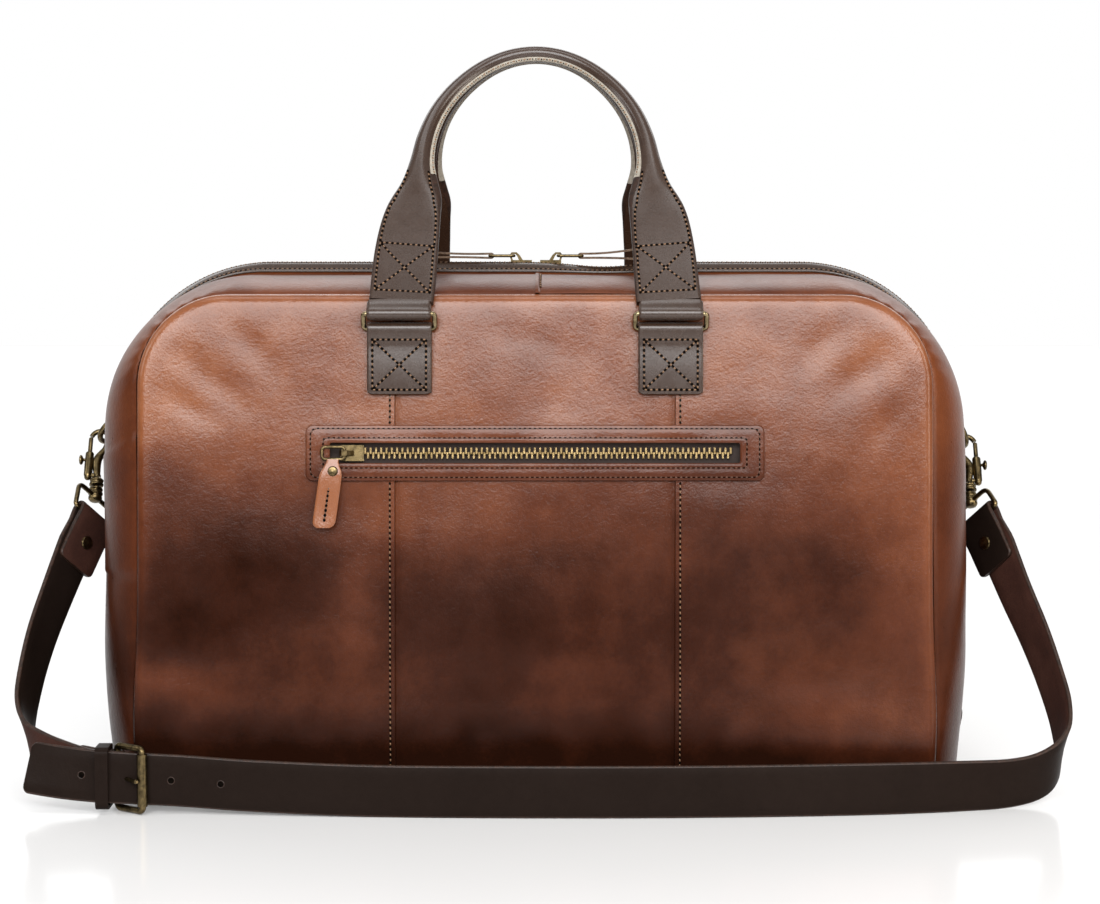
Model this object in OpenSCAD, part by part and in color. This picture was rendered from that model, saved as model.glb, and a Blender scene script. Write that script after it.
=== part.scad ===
// Leather weekender bag: rounded body, two-way zip over the top, two handles on square rings,
// zipped front pocket and a buckled shoulder strap. +X right, -Y front, +Z up, floor at z = 0.

/* [Body] */
// Width across the sides at the zip line
body_w = 514; // [506:2:520]
// Height of the zipped top edge above the floor
body_h = 312; // [310:1:314]
// Width of the front panel between its side seams
panel_w = 460; // [456:2:464]
// Height of the front panel's top seam above the floor
panel_h = 296; // [295:1:297]
// Distance from the middle to the front face at the base
base_half_depth = 121; // [120:0.5:122]
// How far the front face leans back at its top seam
top_lean = 18; // [16:1:20]
// Corner radius of the outline at the zip line
zip_corner_r = 95; // [85:1:100]
// Corner radius of the front panel
panel_corner_r = 52; // [46:1:58]
// Thickness of the body leather
leather_t = 2.2; // [1.6:0.1:2.4]
// Distance from the middle to the seams of the centre panel
panel_seam_x = 80; // [74:1:84]
// Height of the base studs
foot_h = 6; // [5:0.5:7]

/* [Main zip] */
// Half the distance between the two gusset edges
zip_half = 9; // [8.5:0.5:9.5]
// Height above the floor where the zip ends on both sides
zip_end_z = 40; // [38:1:60]
// Width of the closed chain
chain_w = 6; // [5.5:0.1:6.2]
// Travel of each slider from the middle outwards
slider_travel = 150; // [100:5:155]

/* [Handles] */
// Distance from the middle to the centre of each ring
ring_x = 78; // [76:1:80]
// Width of the handle and chape leather
band_w = 37; // [34:0.5:37.5]
// Inside width of each ring
ring_inner_w = 38; // [37.8:0.1:39]
// Radius of the ring wire
ring_wire_r = 1.5; // [1.3:0.05:1.5]
// Distance between the two long bars of a ring
ring_pitch = 10; // [9.6:0.1:10.4]
// Angle by which a ring stands out from upright
ring_tilt = 30; // [25:1:35]
// Angle by which a handle leans inwards
handle_lean = 34; // [30:1:36]
// Radius of the rolled grip
grip_r = 5.2; // [4.6:0.1:5.6]

/* [Front pocket] */
// Width of the pocket frame
frame_w = 264; // [258:2:268]
// Height of the pocket frame
frame_h = 32; // [30:1:34]
// Height of the frame's centre above the floor
frame_z = 205; // [200:1:208]
// Width of the window in the frame
window_w = 236; // [230:2:240]
// Height of the window in the frame
window_h = 11.5; // [11:0.5:12.5]

/* [Shoulder strap] */
// Width of the strap
strap_w = 30; // [28:0.5:30.5]
// Thickness of the strap
strap_t = 2.8; // [2.4:0.1:2.9]
// Distance between the adjusting holes
hole_pitch = 26.7; // [25:0.1:27]

/* [Hidden] */

gap = 0.3;
run_gap = 0.07;
left = -1;
right = 1;

// Colours
cognac = [0.45, 0.19, 0.09];
tan_leather = [0.62, 0.30, 0.15];
dark_leather = [0.16, 0.10, 0.08];
brass = [0.52, 0.44, 0.28];
zip_gold = [0.72, 0.58, 0.33];
cloth = [0.24, 0.17, 0.13];

// ---- small helpers ----

function unit(v) = v / norm(v);
function mix(a, b, t) = a + (b - a) * t;

// Catmull-Rom point between b and c
function curve_at(a, b, c, d, t) =
    0.5 * (2 * b + (c - a) * t + (2 * a - 5 * b + 4 * c - d) * t * t
        + (3 * b - a - 3 * c + d) * t * t * t);

// A smooth curve through the points p, with n steps from each to the next
function smooth(p, n) = [
    for (i = [0 : len(p) - 2], k = [0 : n - 1])
        curve_at(p[max(i - 1, 0)], p[i], p[i + 1], p[min(i + 2, len(p) - 1)], k / n),
    p[len(p) - 1]
];

// Places its children in a frame with origin o and axes x, y, z
module in_frame(o, x, y, z)
    multmatrix([
        [x[0], y[0], z[0], o[0]],
        [x[1], y[1], z[1], o[1]],
        [x[2], y[2], z[2], o[2]],
        [0, 0, 0, 1]
    ]) children();

// A round bar from p to q
module rod(p, q, r) {
    d = q - p;
    translate(p)
        rotate([0, acos(d[2] / norm(d)), atan2(d[1], d[0])])
            cylinder(h = norm(d), r = r, $fn = 32);
}

// A closed solid through rings of points that all have the same count
module sweep(rings) {
    n = len(rings);
    m = len(rings[0]);
    walls = [
        for (i = [0 : n - 2], j = [0 : m - 1])
            let (k = (j + 1) % m)
                each [
                    [i * m + j, i * m + k, (i + 1) * m + k],
                    [i * m + j, (i + 1) * m + k, (i + 1) * m + j]
                ]
    ];
    first = [for (j = [1 : m - 2]) [0, j + 1, j]];
    last = [for (j = [1 : m - 2]) [(n - 1) * m, (n - 1) * m + j, (n - 1) * m + j + 1]];
    polyhedron(points = [for (r = rings) each r], faces = concat(walls, first, last));
}

// A rectangular ring of wire in the XY plane, with rounded corners
module wire_rectangle(w, h, r, corner) {
    for (s = [left, right]) {
        translate([s * w / 2, 0, 0])
            rotate([90, 0, 0])
                cylinder(h = h - 2 * corner, r = r, center = true, $fn = 32);
        translate([0, s * h / 2, 0])
            rotate([0, 90, 0])
                cylinder(h = w - 2 * corner, r = r, center = true, $fn = 32);
    }
    for (k = [0 : 3])
        translate([(k == 0 || k == 3 ? 1 : -1) * (w / 2 - corner), (k < 2 ? 1 : -1) * (h / 2 - corner), 0])
            rotate(90 * k)
                rotate_extrude(angle = 90, $fn = 32)
                    translate([corner, 0])
                        circle(r = r, $fn = 24);
}

// ---- the body's outlines ----

floor_gap = 0.2;
panel_z0 = foot_h + leather_t + floor_gap;
bottom_r = 14;
arc_steps = 8;

// Arch outline as [x, z]: up the left side, round both corners and down the right side
function arch(half_w, top, r, z0) = [
    [-half_w, z0],
    for (k = [0 : arc_steps])
        [-half_w + r - r * cos(90 * k / arc_steps), top - r + r * sin(90 * k / arc_steps)],
    for (k = [arc_steps : -1 : 0])
        [half_w - r + r * cos(90 * k / arc_steps), top - r + r * sin(90 * k / arc_steps)],
    [half_w, z0]
];

// The front face's distance from the middle at height z
function face_y(z) = base_half_depth - top_lean * pow(max(z, 0) / panel_h, 2.2);

// How full the gusset is between the front seam, t = 0, and the zip, t = 1
function fullness(t) = sin(90 * t);
function gusset_half_w(t) = mix(panel_w / 2, body_w / 2, fullness(t));

// ---- body panels ----

// The front face as one sheet: the side profile along X, cut to the outline
module front_sheet(x0, x1) {
    steps = 9;
    outer = [for (k = [0 : steps]) let (z = panel_h * k / steps) [-face_y(z), z]];
    inner = [for (k = [steps : -1 : 0]) let (z = panel_h * k / steps) [-face_y(z) + leather_t, z]];
    intersection() {
        translate([x0, 0, 0])
            rotate([90, 0, 90])
                linear_extrude(x1 - x0)
                    polygon(concat(outer, inner));
        rotate([90, 0, 0])
            linear_extrude(base_half_depth + 10)
                polygon(arch(panel_w / 2, panel_h, panel_corner_r, panel_z0));
    }
}

module pocket_slot()
    translate([-window_w / 2, -base_half_depth - 5, frame_z - window_h / 2])
        cube([window_w, 20, window_h]);

module front_panel(x0, x1, tint)
    color(tint)
        difference() {
            front_sheet(x0, x1);
            pocket_slot();
        }

module back_panel(x0, x1)
    color(cognac)
        mirror([0, 1, 0])
            front_sheet(x0, x1);

module front_panel_left() front_panel(-panel_w / 2, -panel_seam_x - gap / 2, cognac);
module front_panel_centre() front_panel(-panel_seam_x, panel_seam_x, cognac);
module front_panel_right() front_panel(panel_seam_x + gap / 2, panel_w / 2, tan_leather);
module back_panel_left() back_panel(-panel_w / 2, -panel_seam_x - gap / 2);
module back_panel_centre() back_panel(-panel_seam_x, panel_seam_x);
module back_panel_right() back_panel(panel_seam_x + gap / 2, panel_w / 2);

// One quarter of the gusset, from the foot of the front left side up to the middle of the top
gusset_steps = [0, 0.12, 0.3, 0.5, 0.75, 1];

function gusset_row(t, skin) =
    let (
        half_w = gusset_half_w(t) - skin,
        top = mix(panel_h, body_h, fullness(t)) - skin,
        r = mix(panel_corner_r, zip_corner_r, fullness(t)) - skin,
        left_half = [for (p = arch(half_w, top, r, panel_z0)) if (p[0] < 0) p],
        path = concat(
            [[-half_w, panel_z0], [-half_w, 90], [-half_w, 150]],
            [for (k = [1 : len(left_half) - 1]) left_half[k]],
            [[-90, top], [-floor_gap, top]]
        )
    )
    [for (p = path) [p[0], -mix(face_y(p[1]) - leather_t - gap, zip_half, t), p[1]]];

// A sheet between the grids a and b, which have the same size
module sheet(a, b) {
    n = len(a);
    m = len(a[0]);
    function quad(p, q, r, s) = [[p, q, r], [p, r, s]];
    function id(side, i, j) = side * n * m + i * m + j;
    skins = [
        for (i = [0 : n - 2], j = [0 : m - 2]) each concat(
            quad(id(0, i, j), id(0, i, j + 1), id(0, i + 1, j + 1), id(0, i + 1, j)),
            quad(id(1, i, j), id(1, i + 1, j), id(1, i + 1, j + 1), id(1, i, j + 1))
        )
    ];
    ends = [
        for (j = [0 : m - 2]) each concat(
            quad(id(0, 0, j), id(1, 0, j), id(1, 0, j + 1), id(0, 0, j + 1)),
            quad(id(0, n - 1, j), id(0, n - 1, j + 1), id(1, n - 1, j + 1), id(1, n - 1, j))
        )
    ];
    sides = [
        for (i = [0 : n - 2]) each concat(
            quad(id(0, i, 0), id(0, i + 1, 0), id(1, i + 1, 0), id(1, i, 0)),
            quad(id(0, i, m - 1), id(1, i, m - 1), id(1, i + 1, m - 1), id(0, i + 1, m - 1))
        )
    ];
    polyhedron(points = concat([for (r = a) each r], [for (r = b) each r]),
        faces = concat(skins, ends, sides));
}

module gusset_quarter()
    sheet(
        [for (t = gusset_steps) gusset_row(t, 0)],
        [for (t = gusset_steps) gusset_row(t, leather_t)]
    );

module gusset_front_left() color(cognac) gusset_quarter();
module gusset_front_right() color(tan_leather) mirror([1, 0, 0]) gusset_quarter();
module gusset_rear_left() color(cognac) mirror([0, 1, 0]) gusset_quarter();
module gusset_rear_right() color(cognac) mirror([0, 1, 0]) mirror([1, 0, 0]) gusset_quarter();

// ---- base ----

// Floor plan of the bag's underside, following the foot of the gusset
function base_quarter() = [
    for (t = gusset_steps) [gusset_half_w(t), mix(base_half_depth - leather_t, zip_half, t)]
];

module bottom_panel()
    color(cognac)
        translate([0, 0, foot_h])
            linear_extrude(leather_t)
                polygon(concat(
                    [for (p = base_quarter()) [p[0], -p[1]]],
                    [for (k = [len(gusset_steps) - 1 : -1 : 0]) base_quarter()[k]],
                    [for (p = base_quarter()) [-p[0], p[1]]],
                    [for (k = [len(gusset_steps) - 1 : -1 : 0]) -base_quarter()[k]]
                ));

board_t = 3;
board_z = foot_h + leather_t + floor_gap;
board_w = 430;
board_d = 216;

module base_board()
    color(cloth)
        translate([-board_w / 2, -board_d / 2, board_z])
            cube([board_w, board_d, board_t]);

foot_r = 7.5;
foot_x = 190;
foot_y = 88;

module stud()
    rotate_extrude($fn = 48)
        polygon([
            [0, 0], [foot_r - 2.5, 0], [foot_r - 0.8, 0.8], [foot_r, 2.5],
            [foot_r, 4], [foot_r - 1.5, foot_h], [0, foot_h]
        ]);

module base_feet()
    color(brass) {
        stud();
        for (sx = [left, right], sy = [left, right])
            translate([sx * foot_x, sy * foot_y, 0])
                stud();
    }

// ---- lining ----

lining_t = 0.8;
lining_y = 99;
lining_z0 = board_z + board_t + gap;
lining_half_w = panel_w / 2 - leather_t - 2.5;
lining_top = panel_h - leather_t - 2.5;

module lining_panels()
    color(cloth)
        for (s = [left, right])
            translate([0, s * lining_y, 0])
                rotate([90, 0, 0])
                    linear_extrude(lining_t, center = true)
                        polygon(arch(lining_half_w, lining_top, panel_corner_r - 5, lining_z0));

module lining_gusset()
    color(cloth)
        difference() {
            rotate([90, 0, 0])
                linear_extrude(2 * lining_y - 2, center = true)
                    difference() {
                        polygon(arch(lining_half_w, lining_top, panel_corner_r - 5, lining_z0));
                        polygon(arch(lining_half_w - lining_t, lining_top - lining_t,
                            panel_corner_r - 5 - lining_t, lining_z0 - 1));
                    }
            translate([-lining_half_w - 5, -zip_half, zip_end_z])
                cube([2 * lining_half_w + 10, 2 * zip_half, body_h]);
        }

// ---- main zip ----

binding_w = 8;
binding_t = 1.5;
binding_y = 5.6;
tape_t = 0.9;
chain_t = 2;

// A band that follows the zip line over the bag, from y0 to y1, between two distances from the
// gusset's surface
module zip_band(y0, y1, low, high, z0 = zip_end_z)
    translate([0, y1, 0])
        rotate([90, 0, 0])
            linear_extrude(y1 - y0)
                difference() {
                    polygon(arch(body_w / 2 + high, body_h + high, zip_corner_r + high, z0));
                    polygon(arch(body_w / 2 + low, body_h + low, zip_corner_r + low, z0 - 1));
                }

module zip_binding_front()
    color(dark_leather)
        zip_band(-binding_y - binding_w, -binding_y, 0.1, 0.1 + binding_t);

module zip_binding_rear()
    color(dark_leather)
        zip_band(binding_y, binding_y + binding_w, 0.1, 0.1 + binding_t);

module main_zip_tape()
    color(dark_leather)
        zip_band(-zip_half + gap, zip_half - gap, -1 - tape_t, -1);

module main_zip_chain()
    color(zip_gold)
        zip_band(-chain_w / 2, chain_w / 2, -1, -1 + chain_t);

// A rounded leather tab below each end of the zip, which stands out from the side
end_tab_l = 22;
end_tab_w = 22;
end_tab_z = 15;
end_tab_lean = 16;

module zip_end_tab()
    color(dark_leather)
        translate([body_w / 2 + gap, 0, end_tab_z])
            rotate([0, end_tab_lean, 0])
                rotate([0, -90, 0])
                    translate([0, 0, -2.6])
                        linear_extrude(2.6) {
                            translate([0, -end_tab_w / 2])
                                square([end_tab_l - end_tab_w / 2, end_tab_w]);
                            translate([end_tab_l - end_tab_w / 2, 0])
                                circle(d = end_tab_w, $fn = 48);
                        }

module zip_end_tab_left()
    mirror([1, 0, 0])
        zip_end_tab();

module zip_end_tab_right() zip_end_tab();

// Slider: a domed plate on the chain, two flanges beside it and a bridge for the pull
slider_l = 13;
slider_w = 9.2;
slider_z = body_h - 1 + chain_t + 0.2;
slider_x = 9;
bridge_x = 4.5;
bridge_h = 4.2;
bridge_z = slider_z + bridge_h;
pull_wire_r = 0.9;

// Slider plate, flanges and bridge, centred on its bridge's side, for a chain along X
module slider_body() {
    translate([-slider_l / 2, -slider_w / 2, 0])
        cube([slider_l, slider_w, 1.6]);
    for (s = [left, right])
        translate([-slider_l / 2, s * (slider_w / 2 - 0.5) - 0.5, -1.6])
            cube([slider_l, 1, 1.8]);
    rotate([90, 0, 0])
        linear_extrude(3, center = true)
            difference() {
                polygon([[-1, 1.4], [1, 4.6], [3, 6.4], [6, 6.4], [7.4, 4.6], [6.4, 1.4], [-1, 1.4]]);
                polygon([[1.5, 1.5], [2.6, 4], [3.6, 5.2], [5.6, 5.2], [6.2, 4.4], [5.2, 1.5]]);
            }
}

module zip_slider(side)
    color(brass)
        translate([side * slider_x, 0, slider_z])
            mirror([side < 0 ? 1 : 0, 0, 0])
                slider_body();

module zip_slider_left() zip_slider(left);
module zip_slider_right() zip_slider(right);

// Pull: a wire link through the bridge and a leather tab folded through the link
link_l = 15;
link_w = 7.5;
zip_tab_l = 46;
zip_tab_w = 11;

module zip_pull(side)
    translate([side * (slider_x + bridge_x), 0, bridge_z])
        mirror([side < 0 ? 1 : 0, 0, 0]) {
            color(brass)
                translate([link_l / 2, 0, 0])
                    wire_rectangle(link_l, link_w, pull_wire_r, 1.6);
            color(dark_leather)
                difference() {
                    translate([link_l, 0, -1.7])
                        linear_extrude(3.4) {
                            translate([-2.2, -2.6])
                                square([9, 5.2]);
                            polygon([
                                [2.5, -2.6], [9, -zip_tab_w / 2], [zip_tab_l - 5, -zip_tab_w / 2],
                                [zip_tab_l, -zip_tab_w / 2 + 4], [zip_tab_l, zip_tab_w / 2 - 4],
                                [zip_tab_l - 5, zip_tab_w / 2], [9, zip_tab_w / 2], [2.5, 2.6]
                            ]);
                        }
                    translate([link_l, 0, 0])
                        rotate([90, 0, 0])
                            cylinder(h = link_w, r = pull_wire_r + run_gap, center = true, $fn = 32);
                }
        }

module zip_pull_left() zip_pull(left);
module zip_pull_right() zip_pull(right);

// ---- front pocket ----

// Places a flat piece on the front face around height z: its X along the bag, its Y up the face
// and its Z out of the face
module on_face(z, out = 0) {
    lean = atan((face_y(z - 10) - face_y(z + 10)) / 20);
    translate([0, -face_y(z), z])
        rotate([90 - lean, 0, 0])
            translate([0, 0, out])
                children();
}

function rounded(w, h, r) = [
    for (k = [0 : 3], a = [0 : 15 : 90])
        [(k == 0 || k == 3 ? 1 : -1) * (w / 2 - r), (k < 2 ? 1 : -1) * (h / 2 - r)]
            + r * [cos(90 * k + a), sin(90 * k + a)]
];

pocket_frame_t = 2;
pocket_out = 0.7;

module pocket_frame()
    color(cognac)
        on_face(frame_z, pocket_out)
            linear_extrude(pocket_frame_t)
                difference() {
                    polygon(rounded(frame_w, frame_h, 5));
                    polygon(rounded(window_w, window_h, 2));
                }

module pocket_zip_tape()
    color(dark_leather)
        on_face(frame_z, -leather_t - 1.4)
            linear_extrude(tape_t)
                polygon(rounded(window_w + 14, 26, 2));

pocket_chain_w = 5.4;
pocket_chain_t = 2;
pocket_chain_out = -leather_t - 1.4 + tape_t;
pocket_zip_left = -113;
pocket_zip_right = 116;

module pocket_zip_chain()
    color(zip_gold)
        on_face(frame_z, pocket_chain_out)
            translate([pocket_zip_left, -pocket_chain_w / 2, 0])
                cube([pocket_zip_right - pocket_zip_left, pocket_chain_w, pocket_chain_t]);

// Flat cloth pouch behind the window: two sheets, closed round the sides and the foot
pouch_w = 250;
pouch_h = 150;
pouch_gap = 1.6;

module pocket_pouch()
    color(cloth)
        translate([-pouch_w / 2, -107.5, frame_z + 18 - pouch_h])
            difference() {
                cube([pouch_w, pouch_gap + 1.6, pouch_h]);
                translate([0.8, 0.8, 0.8])
                    cube([pouch_w - 1.6, pouch_gap, pouch_h]);
            }

pocket_slider_x = -105;
pocket_slider_out = pocket_chain_out + pocket_chain_t + 0.2;
ring_hinge_x = pocket_slider_x - bridge_x;
ring_out = pocket_slider_out + bridge_h;

module pocket_slider()
    color(brass)
        on_face(frame_z, pocket_slider_out)
            translate([pocket_slider_x, 0, 0])
                mirror([1, 0, 0])
                    slider_body();

pull_ring_w = 13;
pull_ring_h = 7;

module pocket_pull_ring()
    color(brass)
        on_face(frame_z, ring_out)
            translate([ring_hinge_x - pull_ring_w / 2, 0, 0])
                wire_rectangle(pull_ring_w, pull_ring_h, pull_wire_r, 2);

// The tab hangs from the ring's lower bar
tab_l = 39.5;
tab_w = 13;
tab_t = 3;
tab_x = ring_hinge_x - pull_ring_w / 2;
tab_rivet_y = -pull_ring_h / 2 - 7;
tab_out = 1.6;

module pocket_pull_tab()
    color(tan_leather)
        on_face(frame_z, ring_out)
            translate([tab_x, -pull_ring_h / 2, 0])
                difference() {
                    union() {
                        rotate([0, 90, 0])
                            cylinder(h = 2.4, r = 2.0, center = true, $fn = 32);
                        translate([0, 0, tab_out - tab_t / 2])
                            linear_extrude(tab_t)
                                polygon([
                                    [-3.8, 0], [-tab_w / 2, -5], [-tab_w / 2, -tab_l + 3],
                                    [-tab_w / 2 + 3, -tab_l], [tab_w / 2 - 3, -tab_l],
                                    [tab_w / 2, -tab_l + 3], [tab_w / 2, -5], [3.8, 0]
                                ]);
                    }
                    rotate([0, 90, 0])
                        cylinder(h = 20, r = pull_wire_r + run_gap, center = true, $fn = 32);
                    translate([0, -7, -5])
                        cylinder(h = 10, r = 1.2, $fn = 32);
                }

module pocket_tab_rivet()
    color(brass)
        on_face(frame_z, ring_out + tab_out)
            translate([tab_x, tab_rivet_y, 0])
                rotate_extrude($fn = 32)
                    polygon([
                        [0, -tab_t / 2 - 0.8], [2.4, -tab_t / 2 - 0.8], [2.4, -tab_t / 2], [1.2, -tab_t / 2],
                        [1.2, tab_t / 2], [3, tab_t / 2], [2.4, tab_t / 2 + 0.8], [0, tab_t / 2 + 1.2]
                    ]);

// ---- rings and chapes ----

fold_r = ring_wire_r + run_gap + leather_t;
low_bar_z = 276.6;
low_bar_y = -face_y(low_bar_z) - fold_r - 0.3;
high_bar_y = low_bar_y - ring_pitch * sin(ring_tilt);
high_bar_z = low_bar_z + ring_pitch * cos(ring_tilt);
chape_l = 38;

// Two layers of leather folded round a bar that lies along X; the layers run towards -Y for the
// length l, turned by bend
module folded_band(l, bend)
    rotate([0, -90, 0])
        linear_extrude(band_w, center = true)
            difference() {
                union() {
                    circle(r = fold_r, $fn = 48);
                    rotate(bend)
                        polygon([
                            [fold_r, 0], [2.4, -9], [2.4, -l], [-2.0, -l], [-2.4, -9], [-fold_r, 0]
                        ]);
                }
                circle(r = ring_wire_r + run_gap, $fn = 48);
            }

module front_chape(side)
    color(dark_leather)
        difference() {
            translate([side * ring_x, low_bar_y, low_bar_z])
                rotate([90, 0, 0])
                    folded_band(chape_l, 3.4);
            front_clearance();
        }

// Everything behind the front face, less a small gap
module front_clearance() {
    steps = 6;
    z_low = 200;
    rows = [for (k = [0 : steps]) let (z = mix(z_low, panel_h, k / steps)) [-face_y(z) - 0.1, z]];
    translate([-150, 0, 0])
        rotate([90, 0, 90])
            linear_extrude(300)
                polygon(concat(rows, [[0, panel_h], [0, z_low]]));
}

module front_chape_left() front_chape(left);
module front_chape_right() front_chape(right);
module rear_chape_left() mirror([0, 1, 0]) front_chape(left);
module rear_chape_right() mirror([0, 1, 0]) front_chape(right);

module front_ring(side)
    color(brass)
        translate([side * ring_x, (low_bar_y + high_bar_y) / 2, (low_bar_z + high_bar_z) / 2])
            rotate([90 + ring_tilt, 0, 0])
                wire_rectangle(ring_inner_w + 2 * ring_wire_r, ring_pitch, ring_wire_r, 2);

module front_ring_left() front_ring(left);
module front_ring_right() front_ring(right);
module rear_ring_left() mirror([0, 1, 0]) front_ring(left);
module rear_ring_right() mirror([0, 1, 0]) front_ring(right);

// ---- handles ----

// Half of the handle's centre line, as [x, distance up the leaning plane]
grip_route = [
    [76.5, 12], [75, 41], [72, 64], [70, 76], [68.5, 90], [68, 105], [64.5, 122],
    [59, 136], [52, 149], [40, 164], [28, 175], [15, 182], [0, 184.5]
];
// Half the width and half the thickness there
grip_half_w = [18.5, 18.5, 18, 16.5, 11.5, 6.4, grip_r, grip_r, grip_r, grip_r, grip_r, grip_r, grip_r];
grip_half_t = [2.2, 2.2, 2.4, 3, 4.2, 5, grip_r, grip_r, grip_r, grip_r, grip_r, grip_r, grip_r];
grip_sides = 12;

// One ring of the grip, square-edged where it is flat and round where it is rolled
function grip_ring(p, along, half_w, half_t) =
    let (across = [along[1], -along[0]], e = mix(1, 0.35, min(1, (half_w - half_t) / 10)))
    [for (k = [0 : grip_sides - 1])
        let (
            a = 360 * (k + 0.5) / grip_sides,
            u = half_w * sign(cos(a)) * pow(abs(cos(a)), e),
            v = half_t * sign(sin(a)) * pow(abs(sin(a)), e)
        )
        [p[0] + across[0] * u, p[1] + across[1] * u, v]];

module grip() {
    mirrored = [for (i = [len(grip_route) - 2 : -1 : 0]) [-grip_route[i][0], grip_route[i][1]]];
    route = smooth(concat(grip_route, mirrored), 2);
    half_w = smooth(concat(grip_half_w, [for (i = [len(grip_half_w) - 2 : -1 : 0]) grip_half_w[i]]), 2);
    half_t = smooth(concat(grip_half_t, [for (i = [len(grip_half_t) - 2 : -1 : 0]) grip_half_t[i]]), 2);
    last = len(route) - 1;
    sweep([for (i = [0 : last])
        grip_ring(route[i], unit(route[min(i + 1, last)] - route[max(i - 1, 0)]), half_w[i], half_t[i])]);
}

module handle()
    color(dark_leather)
        translate([0, high_bar_y, high_bar_z])
            rotate([90 - handle_lean, 0, 0]) {
                grip();
                for (s = [left, right])
                    translate([s * ring_x, 0, 0])
                        rotate([180, 0, 0])
                            folded_band(12.4, 0);
            }

module front_handle() handle();
module rear_handle() mirror([0, 1, 0]) handle();

// ---- shoulder strap hardware ----

d_bar = unit([0, 0.85, -0.53]);
d_hinge = [259.2, 24.4, 213];
d_wire_r = 1.8;
d_half = 11;
d_corner = 3;
d_depth = 18;
d_fall_left = 40;
d_fall_right = 58;

// Directions at the right side: out of the D-ring's bar, and up the hook's shank
function d_out(fall) = [cos(fall), sin(fall) * d_bar[2], -sin(fall) * d_bar[1]];
hook_up = unit([0, 0.53, 0.85]);

// The left side is the right side mirrored, with its own fall of the D-ring
module on_side(side)
    mirror([side < 0 ? 1 : 0, 0, 0])
        children();

// Frame of the D-ring: X out of the bar, Y along the bar
module d_frame(fall) {
    out = d_out(fall);
    in_frame(d_hinge, out, d_bar, cross(out, d_bar)) children();
}

module d_ring(fall)
    color(brass)
        d_frame(fall) {
            rotate([90, 0, 0])
                cylinder(h = 2 * (d_half - d_corner), r = d_wire_r, center = true, $fn = 32);
            for (s = [left, right]) {
                translate([d_corner, s * d_half, 0])
                    rotate([0, 90, 0])
                        cylinder(h = d_depth - d_half - d_corner, r = d_wire_r, $fn = 32);
                translate([d_corner, s * (d_half - d_corner), 0])
                    rotate(s < 0 ? 180 : 90)
                        rotate_extrude(angle = 90, $fn = 32)
                            translate([d_corner, 0])
                                circle(r = d_wire_r, $fn = 24);
            }
            translate([d_depth - d_half, 0, 0])
                rotate(-90)
                    rotate_extrude(angle = 180, $fn = 48)
                        translate([d_half, 0])
                            circle(r = d_wire_r, $fn = 24);
        }

// Leather tab on the gusset that holds the D-ring's bar; its back leans with the gusset
tab_hole_r = d_wire_r + run_gap;
d_tab_back = 2.45;
d_tab_lean = -6;

module d_ring_tab()
    color(dark_leather)
        in_frame(d_hinge, [1, 0, 0], d_bar, cross([1, 0, 0], d_bar))
            difference() {
                union() {
                    rotate([90, 0, 0])
                        cylinder(h = 16, r = tab_hole_r + 2, center = true, $fn = 48);
                    rotate([0, d_tab_lean, 0])
                        translate([-d_tab_back, -8, 0])
                            cube([2, 16, 24]);
                }
                rotate([90, 0, 0])
                    cylinder(h = 40, r = tab_hole_r, center = true, $fn = 48);
                rotate([0, d_tab_lean, 0])
                    translate([-20 - d_tab_back, -20, -40])
                        cube([20, 40, 80]);
            }

module d_ring_tab_left() on_side(left) d_ring_tab();
module d_ring_tab_right() on_side(right) d_ring_tab();
module d_ring_left() on_side(left) d_ring(d_fall_left);
module d_ring_right() on_side(right) d_ring(d_fall_right);

// Snap hook. Its own frame has Z up the shank and X towards the bag, with its eye round the
// D-ring's far end
eye_z = 42;
eye_r = 5.8;
hook_wire_r = 1.7;
bolt_r = 1.4;
bolt_travel = 5;
post_h = 9;

function hook_origin(fall) = d_hinge + d_depth * d_out(fall) - (eye_z + 0.8) * hook_up;

module hook_frame(fall)
    in_frame(hook_origin(fall), [-1, 0, 0], cross(hook_up, [-1, 0, 0]), hook_up)
        children();

module hook(fall)
    color(brass)
        hook_frame(fall)
            difference() {
                union() {
                    translate([0, 0, post_h])
                        rotate_extrude($fn = 48)
                            polygon([
                                [0, 0], [3.6, 0], [4.4, 1], [3.4, 2.4], [4.2, 3.8],
                                [3, 6], [2.8, 16], [3.4, 24], [0, 26]
                            ]);
                    translate([-eye_r - 2.6, -2.4, post_h + 10])
                        cube([eye_r + 5.6, 4.8, 13.6]);
                    translate([0, 0, eye_z])
                        rotate([90, 0, 0])
                            rotate(-95)
                                rotate_extrude(angle = 255, $fn = 48)
                                    translate([eye_r, 0])
                                        circle(r = hook_wire_r, $fn = 24);
                }
                translate([-eye_r, 0, post_h + 8])
                    cylinder(h = 40, r = bolt_r + run_gap, $fn = 32);
                translate([-eye_r - 5, -1, post_h + 12])
                    cube([5, 2, 8.4]);
                translate([0, 0, post_h - 2])
                    cylinder(h = 6, r = 1.5 + run_gap, $fn = 32);
            }

module hook_left() on_side(left) hook(d_fall_left);
module hook_right() on_side(right) hook(d_fall_right);

// Sliding bolt that closes the eye, with its thumb knob
module hook_trigger(fall)
    color(brass)
        hook_frame(fall)
            translate([-eye_r, 0, 0]) {
                translate([0, 0, post_h + 8 + bolt_travel + 0.5])
                    cylinder(h = 20.6, r = bolt_r, $fn = 32);
                translate([-5, -0.8, post_h + 12 + bolt_travel + 0.3])
                    cube([5, 1.6, 2.8]);
                translate([-3.6, 0, post_h + 12 + bolt_travel + 1.7])
                    rotate([0, -90, 0])
                        cylinder(h = 2.2, r = 3.2, $fn = 48);
            }

module hook_trigger_left() on_side(left) hook_trigger(d_fall_left);
module hook_trigger_right() on_side(right) hook_trigger(d_fall_right);

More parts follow.
